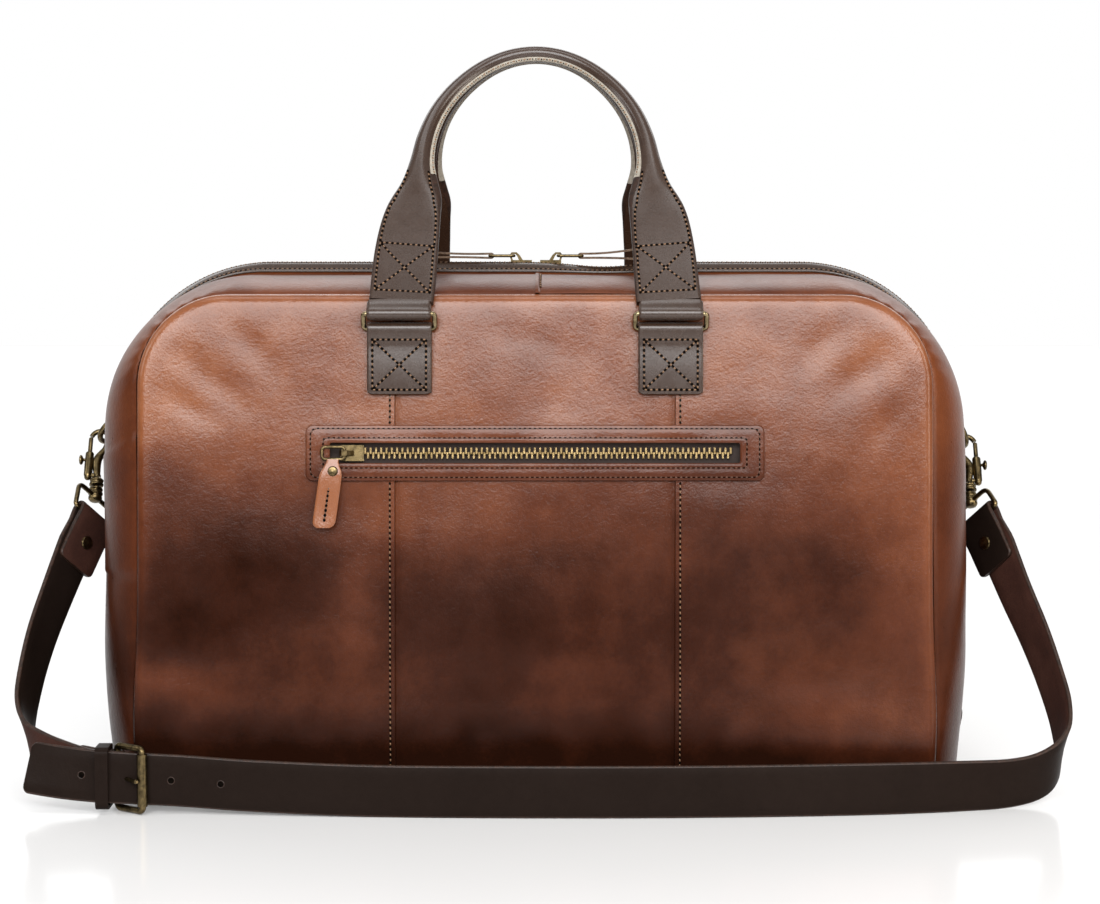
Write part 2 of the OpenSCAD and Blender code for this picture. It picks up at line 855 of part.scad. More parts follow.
// Wire loop and swivel post at the end of the strap, at the right side; the left is its mirror
// image
loop_wire_r = 1.5;
loop_bar = [272, -17, 156];
loop_w = 32;
loop_top = 15.8;
loop_across = unit([0.5, -0.61, 0.61]);
loop_down = unit(cross(cross(loop_across, [0.3, -0.5, -0.82]), loop_across));

module strap_loop(fall) {
    base = hook_origin(fall);
    bar_a = loop_bar - loop_across * (loop_w / 2 + loop_wire_r);
    bar_b = loop_bar + loop_across * (loop_w / 2 + loop_wire_r);
    top_a = base + hook_up * 2 - loop_across * loop_top;
    top_b = base + hook_up * 2 + loop_across * loop_top;
    color(brass) {
        in_frame(base, [-1, 0, 0], cross(hook_up, [-1, 0, 0]), hook_up) {
            rotate_extrude($fn = 48)
                polygon([
                    [0, -1], [4.2, -1], [4.2, post_h - 1.5], [1.5, post_h - 1.5],
                    [1.5, post_h + 3.5], [0, post_h + 3.5]
                ]);
        }
        rod(bar_a, bar_b, loop_wire_r);
        rod(bar_a, top_a, loop_wire_r);
        rod(bar_b, top_b, loop_wire_r);
        rod(top_a, top_b, loop_wire_r);
        for (p = [bar_a, bar_b, top_a, top_b])
            translate(p)
                sphere(r = loop_wire_r + 0.2, $fn = 32);
    }
}

module strap_loop_left() on_side(left) strap_loop(d_fall_left);
module strap_loop_right() on_side(right) strap_loop(d_fall_right);

// ---- shoulder strap ----

// Each route is the strap's centre line and its direction across, from the loop on
long_route = [
    [282, -31.3, 139], [290, -47, 115], [299, -62, 91], [306, -76, 68], [310, -90, 48],
    [308, -104, 31], [297, -117, 20], [276, -127, 15.5], [240, -136, 15.2], [180, -144, 15.2],
    [90, -150, 15.2], [0, -151, 15.2], [-90, -148, 15.2], [-160, -143, 17], [-200, -139, 19],
    [-226, -138, 20.2], [-250, -138, 21.5], [-272, -136, 23.5], [-291, -133, 26]
];
long_across = [
    [0.45, -0.66, 0.58], [0.38, -0.72, 0.56], [0.33, -0.76, 0.54], [0.27, -0.78, 0.57],
    [0.2, -0.65, 0.72], [0.1, -0.4, 0.9], [0, -0.25, 0.97], [0, -0.2, 0.98], [0, -0.1, 1],
    [0, 0, 1], [0, 0, 1], [0, 0, 1], [0, 0, 1], [0, 0, 1], [0, 0, 1], [0, 0, 1], [0, 0.1, 1],
    [0, 0.2, 0.98], [0, 0.3, 0.95]
];
short_route = [
    [-281.4, -30.9, 139], [-289, -47, 115], [-296, -62, 91], [-300, -76, 69], [-301, -89, 50],
    [-296, -103, 36], [-284, -115, 28], [-268, -125, 23], [-256, -130.5, 21], [-247, -133.4, 20.4]
];
short_across = [
    [-0.45, -0.66, 0.58], [-0.38, -0.72, 0.56], [-0.33, -0.76, 0.54], [-0.27, -0.78, 0.57],
    [-0.2, -0.65, 0.72], [-0.1, -0.4, 0.9], [0, -0.15, 0.98], [0, 0.05, 1], [0, 0, 1], [0, 0, 1]
];

wrap_r = loop_wire_r + 0.4 + strap_t / 2;
flap_l = 34;

// The strap's end: up the flap, round the loop's bar and down to the start of the route
function flap_points(side) =
    let (
        flip = [side, 1, 1],
        bar = [for (k = [0 : 2]) loop_bar[k] * flip[k]],
        down = [for (k = [0 : 2]) loop_down[k] * flip[k]],
        across = [for (k = [0 : 2]) loop_across[k] * flip[k]],
        out = side * cross(down, across)
    )
    [
        bar + down * flap_l + out * 3,
        bar + down * 14 + out * 2.6,
        for (a = [0 : 36 : 180]) bar + wrap_r * (out * cos(a) - down * sin(a)),
        bar + down * 10 - out * 2.2
    ];

function ribbon_ring(p, along, across) =
    let (
        w = unit(across - along * (across * along)) * strap_w / 2,
        n = unit(cross(along, w)) * strap_t / 2
    )
    [p + w + n, p - w + n, p - w - n, p + w - n];

// A strap of rectangular section along the points, with its direction across at each
module ribbon(points, across) {
    last = len(points) - 1;
    sweep([for (i = [0 : last])
        ribbon_ring(points[i], unit(points[min(i + 1, last)] - points[max(i - 1, 0)]), across[i])]);
}

module strap_hole(x)
    translate([x, -150, 20])
        rotate([-90, 0, 0])
            cylinder(h = 30, r = 1.9, $fn = 16);

module long_strap() {
    end = flap_points(right);
    points = concat(end, smooth(long_route, 2));
    across = concat([for (p = end) loop_across], smooth(long_across, 2));
    color(dark_leather)
        difference() {
            ribbon(points, across);
            translate([prong_x - 4.6, -150, buckle_z - 2.8])
                cube([9.2, 30, 5.6]);
            for (k = [-1, 1, 2])
                strap_hole(prong_x + k * hole_pitch);
        }
}

// ---- buckle ----

buckle_z = 20.2;
heel = [-240, -130.9];
roller = [-224, -142.8];
buckle_wire_r = 2;
buckle_corner = 2.6;
buckle_arm_z = 18;
roller_r = 3;
roller_l = 30;
prong_r = 1.3;
prong_dir = unit([0.63, -0.777, 0]);
prong_l = 22;
prong_x = -233.6;
heel_wrap_r = buckle_wire_r + 0.2 + strap_t / 2;

// Route round the heel bar and back along the strap
heel_fold = [
    for (a = [-90 : 36 : 90]) [heel[0] + heel_wrap_r * cos(a), heel[1] + heel_wrap_r * sin(a), buckle_z],
    [-250, heel[1] + heel_wrap_r, buckle_z], [-266, heel[1] + heel_wrap_r + 3.4, buckle_z + 2.4]
];

module short_strap() {
    end = flap_points(left);
    flip = [-loop_across[0], loop_across[1], loop_across[2]];
    points = concat(end, smooth(short_route, 2), heel_fold);
    across = concat([for (p = end) flip], smooth(short_across, 2), [for (p = heel_fold) [0, 0, 1]]);
    color(dark_leather)
        difference() {
            ribbon(points, across);
            translate([heel[0] - 4, heel[1] - 8, buckle_z - 3])
                cube([12, 12.5, 6]);
        }
}

keeper_x = -247.4;
keeper_w = 7.4;

module strap_keeper()
    color(dark_leather)
        translate([keeper_x, -133.2, buckle_z + 0.4])
            rotate([0, 90, 0])
                linear_extrude(keeper_w, center = true)
                    difference() {
                        polygon(rounded(strap_w + 6, 19.8, 4));
                        polygon(rounded(strap_w + 2.4, 16.4, 2.2));
                    }

module buckle_frame() {
    arm = unit([roller[0] - heel[0], roller[1] - heel[1], 0]);
    middle = (heel + roller) / 2;
    color(brass)
        in_frame([middle[0], middle[1], buckle_z], arm, [0, 0, 1], cross(arm, [0, 0, 1]))
            wire_rectangle(norm(roller - heel), 2 * buckle_arm_z, buckle_wire_r, buckle_corner);
}

module buckle_roller()
    color(brass)
        translate([roller[0], roller[1], buckle_z])
            difference() {
                cylinder(h = roller_l, r = roller_r, center = true, $fn = 48);
                cylinder(h = 60, r = buckle_wire_r + run_gap, center = true, $fn = 48);
            }

module buckle_prong()
    color(brass)
        translate([heel[0], heel[1], buckle_z])
            difference() {
                union() {
                    cylinder(h = 4, r = buckle_wire_r + run_gap + 1.2, center = true, $fn = 48);
                    in_frame([0, 0, 0], [0, 0, -1], cross(prong_dir, [0, 0, -1]), prong_dir)
                        rotate_extrude($fn = 32)
                            polygon([
                                [0, 0], [prong_r, 0], [prong_r, prong_l - 1],
                                [prong_r - 0.5, prong_l], [0, prong_l]
                            ]);
                }
                cylinder(h = 10, r = buckle_wire_r + run_gap, center = true, $fn = 48);
            }

// Domed rivets that close the strap's flaps round the loops
module strap_rivet(side) {
    out = cross(loop_down, loop_across);
    on_side(side)
        in_frame(loop_bar + loop_down * 17, -loop_across, loop_down, out)
            rotate_extrude($fn = 32)
                polygon([
                    [0, strap_t / 2 + 2.85], [4.2, strap_t / 2 + 2.85], [3.8, strap_t / 2 + 3.7], [0, strap_t / 2 + 4.7]
                ]);
}

module strap_rivets()
    color(brass) {
        strap_rivet(left);
        strap_rivet(right);
    }

front_panel_left();
front_panel_centre();
front_panel_right();
back_panel_left();
back_panel_centre();
back_panel_right();
gusset_front_left();
gusset_front_right();
gusset_rear_left();
gusset_rear_right();
bottom_panel();
base_board();
base_feet();
lining_panels();
lining_gusset();
zip_binding_front();
zip_binding_rear();
main_zip_tape();
main_zip_chain();
zip_end_tab_left();
zip_end_tab_right();
zip_slider_left();
zip_slider_right();
zip_pull_left();
zip_pull_right();
pocket_frame();
pocket_zip_tape();
pocket_zip_chain();
pocket_pouch();
pocket_slider();
pocket_pull_ring();
pocket_pull_tab();
pocket_tab_rivet();
front_chape_left();
front_chape_right();
rear_chape_left();
rear_chape_right();
front_ring_left();
front_ring_right();
rear_ring_left();
rear_ring_right();
front_handle();
rear_handle();
d_ring_tab_left();
d_ring_tab_right();
d_ring_left();
d_ring_right();
hook_left();
hook_right();
hook_trigger_left();
hook_trigger_right();
strap_loop_left();
strap_loop_right();
strap_rivets();
long_strap();
short_strap();
strap_keeper();
buckle_frame();
buckle_roller();
buckle_prong();
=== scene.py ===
"""Leather weekender bag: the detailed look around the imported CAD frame.

Lengths are in millimetres, as in the CAD source, and MM turns them into Blender's metres. Only the
camera, the lights, the bumps and the cords' routes are in metres. +X is right, the front faces -Y,
+Z is up and the floor is at z = 0.
"""

import math

import bmesh
import bpy
import numpy as np
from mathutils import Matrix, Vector, noise


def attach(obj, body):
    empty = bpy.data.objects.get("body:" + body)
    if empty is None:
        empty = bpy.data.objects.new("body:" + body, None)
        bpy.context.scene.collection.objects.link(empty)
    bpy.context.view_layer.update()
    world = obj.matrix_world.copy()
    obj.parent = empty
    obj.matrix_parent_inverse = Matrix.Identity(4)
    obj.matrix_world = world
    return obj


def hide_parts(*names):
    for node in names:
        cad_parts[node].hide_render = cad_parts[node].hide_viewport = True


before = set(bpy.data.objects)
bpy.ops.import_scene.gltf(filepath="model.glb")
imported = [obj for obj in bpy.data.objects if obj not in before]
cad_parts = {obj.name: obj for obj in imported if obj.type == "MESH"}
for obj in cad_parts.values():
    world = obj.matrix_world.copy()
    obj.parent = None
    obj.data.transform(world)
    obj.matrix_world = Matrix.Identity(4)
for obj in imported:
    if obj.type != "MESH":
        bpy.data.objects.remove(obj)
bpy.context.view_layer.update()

MM = 0.001
LEFT, RIGHT = -1, 1
FRONT, REAR = -1, 1

# ---------------------------------------------------------------- camera

CAMERA_PLACE = (0.0086, -1.6, 0.3305)
CAMERA_PITCH = -4.8
CAMERA_LENS = 84.8


def make_camera():
    data = bpy.data.cameras.new("camera")
    data.lens = CAMERA_LENS
    data.sensor_width = 36
    data.clip_end = 50
    camera = bpy.data.objects.new("camera", data)
    camera.location = CAMERA_PLACE
    camera.rotation_euler = (math.radians(90 + CAMERA_PITCH), 0, 0)
    bpy.context.scene.collection.objects.link(camera)
    bpy.context.scene.camera = camera


make_camera()

# ---------------------------------------------------------------- materials


def new_material(name):
    material = bpy.data.materials.new(name)
    material.use_nodes = True
    nodes = material.node_tree.nodes
    nodes.clear()
    output = nodes.new("ShaderNodeOutputMaterial")
    shader = nodes.new("ShaderNodeBsdfPrincipled")
    material.node_tree.links.new(shader.outputs[0], output.inputs["Surface"])
    return material, shader


def feed(material, made, inputs):
    """Links each of a node's inputs to another node's output, or sets it to a constant."""
    for key, value in inputs.items():
        if isinstance(value, bpy.types.NodeSocket):
            material.node_tree.links.new(value, made.inputs[key])
        else:
            made.inputs[key].default_value = value


def node(material, kind, inputs, **settings):
    made = material.node_tree.nodes.new("ShaderNode" + kind)
    for key, value in settings.items():
        setattr(made, key, value)
    feed(material, made, inputs)
    return made


def ramp(material, factor, stops):
    made = node(material, "ValToRGB", {"Fac": factor})
    elements = made.color_ramp.elements
    while len(elements) < len(stops):
        elements.new(0.5)
    for element, (place, colour) in zip(elements, stops):
        element.position = place
        element.color = (*colour, 1)
    return made.outputs["Color"]


def object_coords(material, scale=(1, 1, 1)):
    coords = node(material, "TexCoord", {}).outputs["Object"]
    return node(material, "Mapping", {"Vector": coords, "Scale": scale}).outputs["Vector"]


def noise_texture(material, coords, scale, detail=4, rough=0.5, distortion=0.0):
    made = node(material, "TexNoise", {"Vector": coords, "Scale": scale, "Detail": detail})
    feed(material, made, {"Roughness": rough, "Distortion": distortion})
    return made.outputs["Fac"]


def voronoi(material, coords, scale, feature="F1"):
    made = node(material, "TexVoronoi", {"Vector": coords, "Scale": scale}, feature=feature)
    return made.outputs["Distance"]


def maths(material, operation, a, b=0.0, c=0.0):
    return node(material, "Math", {0: a, 1: b, 2: c}, operation=operation).outputs[0]


def blended(material, a, share, b):
    """This share of one value, and the rest of the other."""
    rest = maths(material, "MULTIPLY", b, 1 - share)
    return maths(material, "MULTIPLY_ADD", a, share, rest)


def tone_ramp(material, tone, tones, low, high):
    """The tones in equal steps, as the factor goes from low to high."""
    count = len(tones) - 1
    return ramp(material, tone, [(low + (high - low) * k / count, tones[k]) for k in range(count + 1)])


def mixed(material, factor, a, b, mode):
    """Two colours mixed in that way; 0, 6, 7 and 2 are the node's factor, colours and result."""
    made = node(material, "Mix", {0: factor, 6: a, 7: b}, data_type="RGBA", blend_type=mode)
    return made.outputs[2]


def bumps(material, shader, layers):
    """Bump from several heights: each layer is (height, strength, distance in metres)."""
    below = {}
    for height, strength, distance in layers:
        inputs = {"Height": height, "Strength": strength, "Distance": distance, **below}
        below = {"Normal": node(material, "Bump", inputs).outputs["Normal"]}
    feed(material, shader, below)


def leather(name, tones, rough, grain=1.0, shine=0.25, patina_and_shading=False):
    """Full-grain leather: tones from dark to light, pebbled grain, fine creases and pores; the crease lines
    are darkened with painted shade.
    With that flag, the attribute of its name sets the tone, which holds painted light and shade as well as
    the leather's own tone, and the dark places shine less."""
    material, shader = new_material(name)
    coords = object_coords(material)
    clouds = noise_texture(material, coords, 9, 5, 0.55, 0.6)
    fine = noise_texture(material, coords, 160, 5, 0.6)
    streak = noise_texture(material, object_coords(material, (1, 1, 0.35)), 45, 4, 0.55, 0.4)
    tone = maths(material, "MULTIPLY", clouds, 0.55)
    tone = maths(material, "MULTIPLY_ADD", fine, 0.16, tone)
    tone = maths(material, "MULTIPLY_ADD", streak, 0.14, tone)
    wrinkle = noise_texture(material, coords, 380, 5, 0.6, 0.3)
    tone = maths(material, "MULTIPLY_ADD", wrinkle, 0.22, tone)
    tone = maths(material, "SUBTRACT", tone, 0.11)
    if patina_and_shading:
        # this attribute holds painted light and shade as well as the leather's own tone
        painted = node(material, "Attribute", {}, attribute_name="patina_and_shading").outputs["Fac"]
        tone = maths(material, "MULTIPLY_ADD", tone, 0.55, painted)
        tone = maths(material, "SUBTRACT", tone, 0.22)
        shine = maths(material, "MULTIPLY_ADD", painted, 1.7 * shine, -0.17 * shine)
    colour = tone_ramp(material, tone, tones, 0.12, 0.88)
    bends = noise_texture(material, object_coords(material, (1, 1, 0.7)), 150, 5, 0.6, 0.3)
    ridge = maths(material, "ABSOLUTE", maths(material, "SUBTRACT", bends, 0.5))
    # painted shade: the colour darkens along the crease lines that the folds bump sinks
    lines = ramp(material, ridge, [(0.0, (0.84, 0.82, 0.80)), (0.04, (1, 1, 1))])
    colour = mixed(material, 0.3 * grain, colour, lines, "MULTIPLY")
    pores = voronoi(material, coords, 900, "DISTANCE_TO_EDGE")
    creases = ramp(material, pores, [(0.0, (0.74, 0.72, 0.70)), (0.09, (1, 1, 1))])
    colour = mixed(material, 0.5, colour, creases, "MULTIPLY")
    gloss = maths(material, "MULTIPLY_ADD", fine, 0.14, rough - 0.07)
    feed(material, shader, {"Base Color": colour, "Roughness": gloss, "Specular IOR Level": shine})
    pebble = voronoi(material, coords, 820, "F1")
    folds = ramp(material, ridge, [(0.0, (0, 0, 0)), (0.06, (1, 1, 1))])
    swell = noise_texture(material, coords, 60, 3, 0.5, 0.4)
    bumps(material, shader, [
        (swell, 0.30 * grain, 0.0008),
        (folds, 0.12 * grain, 0.00020),
        (wrinkle, 0.70 * grain, 0.00028),
        (pebble, 0.34 * grain, 0.00016),
    ])
    return material


def suede(name, tones):
    """The flesh side of thick leather: matt, fibrous and mottled."""
    material, shader = new_material(name)
    coords = object_coords(material)
    fibre = noise_texture(material, coords, 520, 8, 0.75, 1.5)
    cloud = noise_texture(material, coords, 40, 4, 0.5)
    tone = blended(material, fibre, 0.5, cloud)
    colour = tone_ramp(material, tone, tones, 0.3, 0.7)
    feed(material, shader, {"Base Color": colour, "Roughness": 0.78, "Specular IOR Level": 0.15})
    bumps(material, shader, [(fibre, 0.8, 0.0004)])
    return material


def metal(name, dark, light, rough, wear=1.0):
    """Aged brass: dark in the worn-in patches and brighter where it is rubbed."""
    material, shader = new_material(name)
    coords = object_coords(material)
    patches = noise_texture(material, coords, 240, 5, 0.65, 0.7)
    scratch = noise_texture(material, object_coords(material, (1, 1, 4)), 900, 3, 0.6)
    tone = blended(material, patches, 0.85, scratch)
    colour = ramp(material, tone, [(0.36, dark), (0.62, light)])
    gloss = maths(material, "MULTIPLY_ADD", patches, -0.25 * wear, rough + 0.12 * wear)
    feed(material, shader, {"Base Color": colour, "Roughness": gloss, "Metallic": 1.0})
    bumps(material, shader, [(patches, 0.25 * wear, 0.0002), (scratch, 0.2, 0.00006)])
    return material


def woven(name, dark, light, pitch):
    """Plain weave: two sets of threads that pass over and under each other, darker with painted shade where
    they dip.
    """
    material, shader = new_material(name)
    coords = object_coords(material)
    parts = node(material, "SeparateXYZ", {"Vector": coords})
    turns = 2 * math.pi / (pitch * MM)
    across = maths(material, "SINE", maths(material, "MULTIPLY", parts.outputs["X"], turns))
    along_sum = maths(material, "ADD", parts.outputs["Y"], parts.outputs["Z"])
    along = maths(material, "SINE", maths(material, "MULTIPLY", along_sum, turns))
    weave = maths(material, "MULTIPLY", across, along)
    height = maths(material, "MULTIPLY_ADD", weave, 0.5, 0.5)
    fluff = noise_texture(material, coords, 700, 4, 0.6)
    # painted shade: the weave's low places are darker
    tone = blended(material, height, 0.7, fluff)
    colour = ramp(material, tone, [(0.2, dark), (0.8, light)])
    feed(material, shader, {"Base Color": colour, "Roughness": 0.85})
    bumps(material, shader, [(tone, 0.6, 0.0003)])
    return material


def thread(name, dark, light):
    """Waxed thread with a twist."""
    material, shader = new_material(name)
    coords = object_coords(material)
    twist = noise_texture(material, coords, 1400, 3, 0.6, 0.4)
    batch = noise_texture(material, coords, 90, 2)
    tone = blended(material, twist, 0.6, batch)
    colour = ramp(material, tone, [(0.35, dark), (0.65, light)])
    feed(material, shader, {"Base Color": colour, "Roughness": 0.6})
    bumps(material, shader, [(twist, 0.5, 0.0002)])
    return material


def painted_edge(name, dark, light, shine=0.22):
    """A cut edge that is painted and burnished."""
    material, shader = new_material(name)
    uneven = noise_texture(material, object_coords(material), 420, 5, 0.6, 0.5)
    colour = ramp(material, uneven, [(0.35, dark), (0.7, light)])
    feed(material, shader, {"Base Color": colour, "Roughness": 0.42, "Specular IOR Level": shine})
    bumps(material, shader, [(uneven, 0.5, 0.0003)])
    return material


BODY_TONES = [
    (0.0110, 0.0034, 0.0018),
    (0.0270, 0.0068, 0.0028),
    (0.0620, 0.0150, 0.0048),
    (0.1150, 0.0315, 0.0100),
    (0.1900, 0.0640, 0.0240),
]
DARK_TONES = [(0.0175, 0.0085, 0.0050), (0.0310, 0.0160, 0.0095), (0.0460, 0.0255, 0.0155)]
STRAP_TONES = [(0.0070, 0.0042, 0.0032), (0.0120, 0.0075, 0.0058), (0.0185, 0.0118, 0.0090)]

BODY = leather("body_leather", BODY_TONES, 0.23, 0.75, 0.33, patina_and_shading=True)
SIDE_BODY = leather("gusset_leather", BODY_TONES, 0.30, 0.75, 0.20, patina_and_shading=True)
DARK = leather("dark_leather", DARK_TONES, 0.27, 0.15, 0.50)
STRAP = leather("strap_leather", STRAP_TONES, 0.38, 0.4, 0.03)
FLESH = suede("strap_flesh", [(0.017, 0.006, 0.004), (0.037, 0.013, 0.0085), (0.06, 0.024, 0.016)])
EDGE = painted_edge("dark_edge", (0.012, 0.007, 0.005), (0.035, 0.016, 0.010))
BODY_EDGE = painted_edge("body_edge", (0.018, 0.007, 0.005), (0.060, 0.022, 0.012))
BRASS = metal("antique_brass", (0.035, 0.025, 0.012), (0.17, 0.125, 0.060), 0.32)
RING_BRASS = metal("ring_brass", (0.10, 0.075, 0.038), (0.30, 0.24, 0.14), 0.25, 0.6)
ZIP_BRASS = metal("zip_brass", (0.12, 0.080, 0.032), (0.36, 0.26, 0.125), 0.28, 0.4)
TAPE = woven("zip_tape", (0.010, 0.006, 0.005), (0.035, 0.020, 0.015), 0.7)
CLOTH = woven("lining_cloth", (0.05, 0.032, 0.022), (0.11, 0.072, 0.05), 0.6)
BOARD = painted_edge("base_board", (0.010, 0.010, 0.010), (0.03, 0.03, 0.03))
THREAD = thread("tan_thread", (0.08, 0.037, 0.015), (0.19, 0.10, 0.045))
DARK_THREAD = thread("dark_thread", (0.034, 0.015, 0.007), (0.085, 0.040, 0.019))
TAN_EDGE = painted_edge("tan_edge", (0.065, 0.038, 0.022), (0.17, 0.11, 0.07))
# painted shade: near-black and without shine, for the insides of holes
HOLE_SHADE = painted_edge("needle_hole_shade", (0.0015, 0.001, 0.001), (0.004, 0.003, 0.002), 0.0)
# light grey for the grip's raw seam edge, partly a painted highlight
RAW_EDGE_AND_SHEEN = painted_edge("raw_edge_and_sheen", (0.21, 0.185, 0.15), (0.34, 0.31, 0.26))

# ---------------------------------------------------------------- mesh helpers


def unit(v):
    v = np.asarray(v, float)
    length = np.linalg.norm(v, axis=-1, keepdims=True)
    return v / np.maximum(length, 1e-12)


def mix(a, b, t):
    return a + (b - a) * t


def smoothstep(t):
    t = np.clip(t, 0, 1)
    return t * t * (3 - 2 * t)


def bump_at(x, centre, width):
    return np.exp(-(((x - centre) / width) ** 2))


def rounded_half_widths(distance, half, corner):
    """Half the width of a strip near its end, whose corners are rounded."""
    near = np.clip(corner - distance, 0, corner)
    return half - corner + np.sqrt(np.maximum(corner**2 - near**2, 0))


def smooth(points, steps):
    """Catmull-Rom curve through the points, with that many steps from each to the next."""
    p = np.asarray(points, float)
    last = len(p) - 1
    out = []
    for i in range(last):
        a, b, c, d = p[max(i - 1, 0)], p[i], p[i + 1], p[min(i + 2, last)]
        bend, twist = 2 * a - 5 * b + 4 * c - d, 3 * b - a - 3 * c + d
        for k in range(steps):
            t = k / steps
            out.append(0.5 * (2 * b + (c - a) * t + bend * t**2 + twist * t**3))
    out.append(p[last])
    return np.array(out)


def lengths(points):
    steps = np.linalg.norm(np.diff(points, axis=0), axis=1)
    return np.concatenate([[0], np.cumsum(steps)])


def sample(points, at, *more):
    """The points, and any lists that go with them, at these distances along."""
    along = lengths(points)
    made = []
    for values in (points, *more):
        values = np.asarray(values, float)
        if values.ndim == 1:
            made.append(np.interp(at, along, values))
        else:
            made.append(np.stack([np.interp(at, along, values[:, k]) for k in range(values.shape[1])], 1))
    return made[0] if len(made) == 1 else made


def grid_quads(rows, columns, closed=False):
    """Quads of a grid of rows x columns points; closed joins the last column to the first."""
    wide = columns if closed else columns - 1
    i, j = np.meshgrid(np.arange(rows - 1), np.arange(wide), indexing="ij")
    k = (j + 1) % columns
    quads = np.stack([i * columns + j, i * columns + k, (i + 1) * columns + k, (i + 1) * columns + j], -1)
    return quads.reshape(-1, 4)


def capped_faces(rows, columns):
    """Quads of a closed section along a path, and a cap on each end."""
    faces = [tuple(f) for f in grid_quads(rows, columns, closed=True)]
    return faces + [tuple(range(columns)), tuple(range((rows - 1) * columns, rows * columns))]


def end_name(end):
    return "left" if end == LEFT else "right"


def face_name(side):
    return "front" if side == FRONT else "rear"


def add_piece(name, points, faces, materials, body="root", slot=None, replaces=(), face_material=None,
              crease=38, patina_and_shading=None):
    """Makes a mesh piece from points in millimetres and puts it on its CAD body. The first
    material covers it, or face_material gives the number of each face's material."""
    mesh = bpy.data.meshes.new(name)
    flat = [tuple(p) for p in np.asarray(points, float) * MM]
    mesh.from_pydata(flat, [], [tuple(int(v) for v in f) for f in faces])
    for material in materials:
        mesh.materials.append(material)
    if face_material is not None:
        mesh.polygons.foreach_set("material_index", np.asarray(face_material, np.int32))
    if patina_and_shading is not None:
        attribute = mesh.attributes.new("patina_and_shading", "FLOAT", "POINT")
        attribute.data.foreach_set("value", np.asarray(patina_and_shading, np.float32).ravel())
    work = bmesh.new()
    work.from_mesh(mesh)
    bmesh.ops.recalc_face_normals(work, faces=work.faces)
    for face in work.faces:
        face.smooth = True
    for edge in work.edges:
        if len(edge.link_faces) == 2 and edge.calc_face_angle(0) > math.radians(crease):
            edge.smooth = False
    work.to_mesh(mesh)
    work.free()
    piece = bpy.data.objects.new(name, mesh)
    bpy.context.scene.collection.objects.link(piece)
    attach(piece, body)
    if replaces:
        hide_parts(*replaces)
    return piece


def add_bevel(piece, width):
    modifier = piece.modifiers.new("bevel", "BEVEL")
    modifier.width = width * MM
    modifier.segments = 2
    modifier.limit_method = "ANGLE"
    modifier.angle_limit = math.radians(40)
    modifier.harden_normals = True


def grid_normals(grid):
    across = np.gradient(grid, axis=1)
    down = np.gradient(grid, axis=0)
    return unit(np.cross(across, down))


def skin(name, grid, thickness, materials, outward, keep=None, patina_and_shading=None, **more):
    """A sheet of leather: the grid of outer points, and the same grid set back by the thickness.
    outward is a rough outward direction, for all the points or for each, and keep masks the quads
    that stay. The materials are those of the grain side, the cut edge and the flesh side."""
    grid = np.asarray(grid, float)
    normals = grid_normals(grid)
    if np.sum(normals * outward) < 0:
        normals = -normals
    inner = grid - normals * thickness
    rows, columns = grid.shape[:2]
    quads = grid_quads(rows, columns)
    if keep is not None:
        quads = quads[keep.ravel()]
    count = rows * columns
    edges = {}
    for quad in quads:
        for a, b in zip(quad, np.roll(quad, -1)):
            key = (min(a, b), max(a, b))
            edges[key] = None if key in edges else (a, b)
    rim = [(b, a, a + count, b + count) for pair in edges.values() if pair is not None for a, b in [pair]]
    faces = [*quads, *(quads[:, ::-1] + count), *rim]
    edge = 1 if len(materials) > 1 else 0
    back = 2 if len(materials) > 2 else 0
    face_material = [0] * len(quads) + [back] * len(quads) + [edge] * len(rim)
    points = np.concatenate([grid.reshape(-1, 3), inner.reshape(-1, 3)])
    if patina_and_shading is not None:
        patina_and_shading = np.concatenate([np.ravel(patina_and_shading), np.ravel(patina_and_shading)])
    return add_piece(name, points, faces, materials, face_material=face_material, patina_and_shading=patina_and_shading, **more)


def frames_along(points, up):
    """A direction along, across and out at each point of a line, turned as little as possible."""
    along = unit(np.gradient(points, axis=0))
    side, sides = up, []
    for t in along:
        side = unit(side - t * np.dot(side, t))
        sides.append(side)
    sides = np.array(sides)
    return along, sides, np.cross(along, sides)


def tube(points, radius, sides, up, closed=False):
    """Points and faces of a round bar along the points; radius is a number or one for each."""
    points = np.asarray(points, float)
    along, across, out = frames_along(points, up)
    if closed:
        along = unit(np.roll(points, -1, 0) - np.roll(points, 1, 0))
        out = unit(np.cross(along, across))
    radius = np.broadcast_to(radius, len(points))
    angle = np.arange(sides) * 2 * math.pi / sides
    ring = across[:, None] * np.cos(angle)[None, :, None] + out[:, None] * np.sin(angle)[None, :, None]
    grid = points[:, None] + ring * radius[:, None, None]
    count = len(points)
    if closed:
        faces = [tuple(f) for f in grid_quads(count + 1, sides, closed=True) % (count * sides)]
        return grid.reshape(-1, 3), faces
    return grid.reshape(-1, 3), capped_faces(count, sides)


def lathe(profile, origin, axis, sides=32):
    """Points and faces of a turned shape: profile is [radius, distance along the axis]."""
    profile = np.asarray(profile, float)
    axis = unit(axis)
    side = unit(np.cross(axis, [0.31, 0.52, 0.79]))
    other = np.cross(axis, side)
    angle = np.arange(sides) * 2 * math.pi / sides
    ring = side * np.cos(angle)[:, None] + other * np.sin(angle)[:, None]
    radius, rise = profile[:, 0, None, None], profile[:, 1, None, None]
    grid = np.asarray(origin, float) + ring[None] * radius + axis * rise
    return grid.reshape(-1, 3), capped_faces(len(profile), sides)


def joined(*parts):
    """Several (points, faces) pairs as one."""
    points, faces, count = [], [], 0
    for some, theirs in parts:
        points.append(np.asarray(some, float))
        faces += [tuple(int(v) + count for v in f) for f in theirs]
        count += len(some)
    return np.concatenate(points), faces


